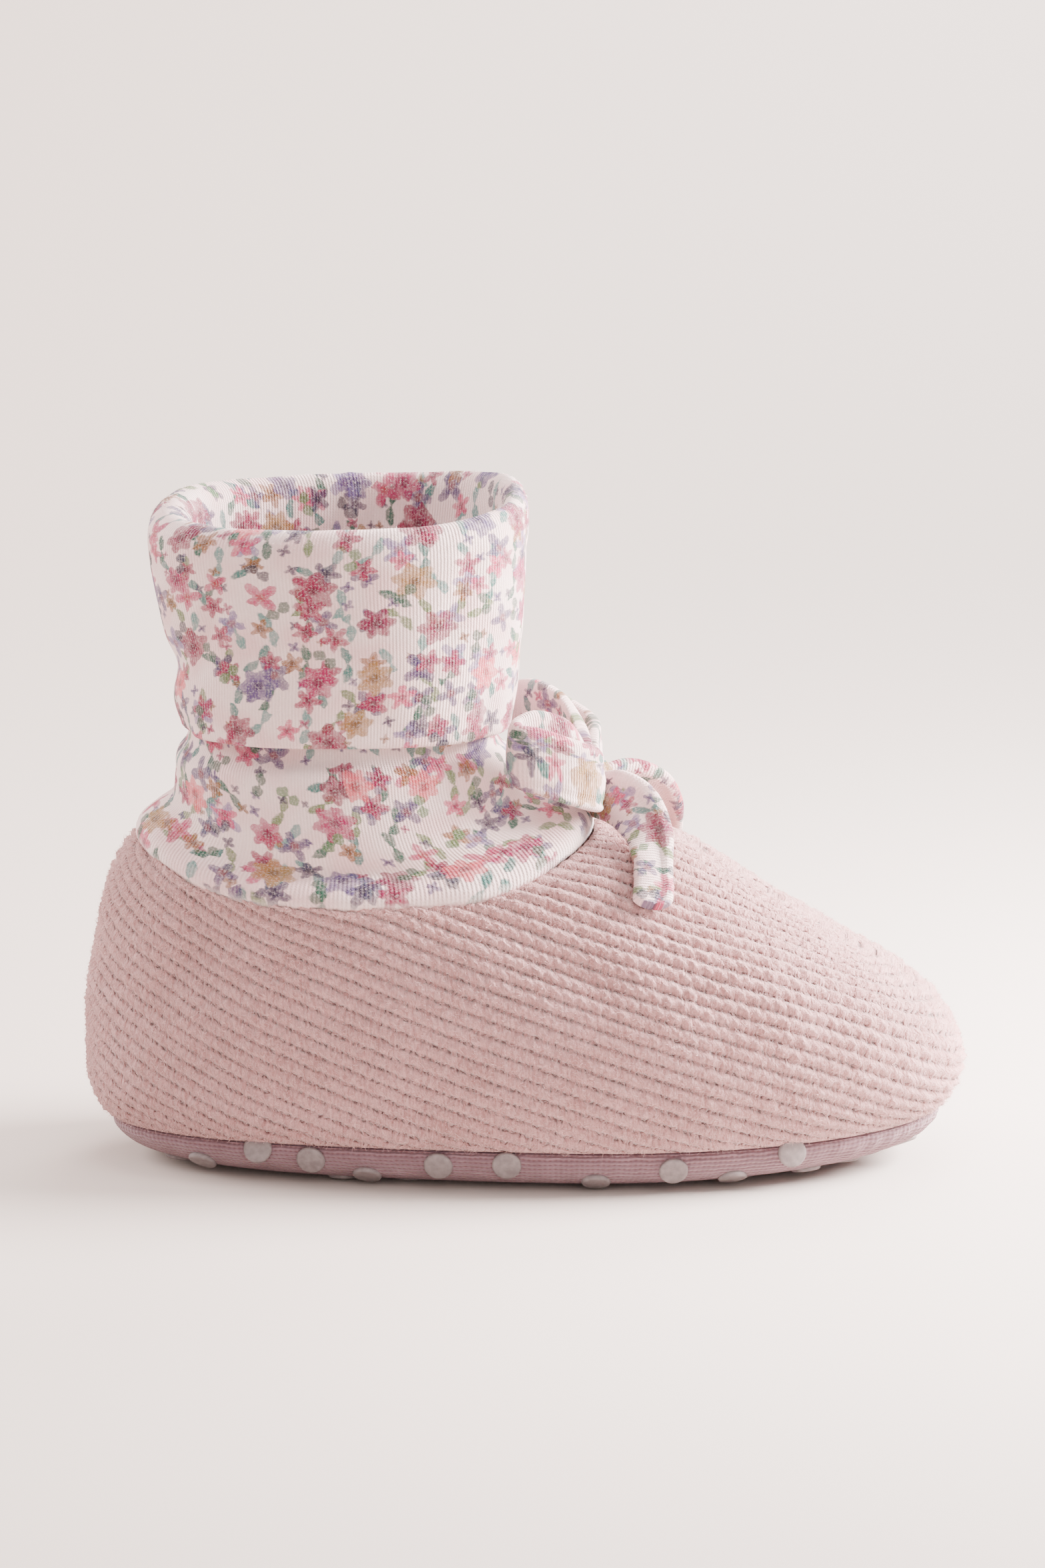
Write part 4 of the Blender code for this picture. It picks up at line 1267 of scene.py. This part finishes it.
class SLIPPER_OT_bow(bpy.types.Operator):
    """Build the bow: knot, loops and tails"""

    bl_idname = "slipper.bow"
    bl_label = "Bow"

    def execute(self, context):
        settings = context.scene.slipper_jersey
        build_knot(settings)
        skin = upper_skin()
        for side_name, side in (("right", -1.0), ("left", 1.0)):
            build_loop(settings, side_name, side)
            build_tail(settings, side_name, side, skin)
        return {"FINISHED"}


class SLIPPER_OT_stage(bpy.types.Operator):
    """Build the floor, lamps and camera"""

    bl_idname = "slipper.stage"
    bl_label = "Studio"

    def execute(self, context):
        build_sweep(context.scene.slipper_stage)
        build_lamps(context.scene.slipper_stage)
        build_camera()
        return {"FINISHED"}


class SLIPPER_PT_panel(bpy.types.Panel):
    """Lists the slipper's settings and the operators that build it."""

    bl_label = "Bootie slipper"
    bl_idname = "SLIPPER_PT_panel"
    bl_space_type = "VIEW_3D"
    bl_region_type = "UI"
    bl_category = "Slipper"

    def draw(self, context):
        layout = self.layout
        for group in SETTINGS:
            box = layout.box()
            settings = getattr(context.scene, group)
            for name in settings.__annotations__:
                box.prop(settings, name)
        for operator in OPERATORS:
            layout.operator(operator.bl_idname)


OPERATORS = (SLIPPER_OT_upper, SLIPPER_OT_shaft, SLIPPER_OT_sole, SLIPPER_OT_bow,
             SLIPPER_OT_stage)
SETTINGS = {
    "slipper_upper": UpperSettings,
    "slipper_jersey": JerseySettings,
    "slipper_sole": SoleSettings,
    "slipper_stage": StageSettings,
}


def register():
    """Register the settings, operators and panel."""
    for name, group in SETTINGS.items():
        bpy.utils.register_class(group)
        setattr(bpy.types.Scene, name, bpy.props.PointerProperty(type=group))
    for shown in (*OPERATORS, SLIPPER_PT_panel):
        bpy.utils.register_class(shown)


def unregister():
    """Undo register."""
    for shown in (SLIPPER_PT_panel, *reversed(OPERATORS)):
        bpy.utils.unregister_class(shown)
    for name, group in SETTINGS.items():
        delattr(bpy.types.Scene, name)
        bpy.utils.unregister_class(group)


def main():
    """Build every piece."""
    register()
    bpy.ops.slipper.upper()
    bpy.ops.slipper.shaft()
    bpy.ops.slipper.sole()
    bpy.ops.slipper.bow()
    bpy.ops.slipper.stage()


if __name__ == "__main__":
    main()
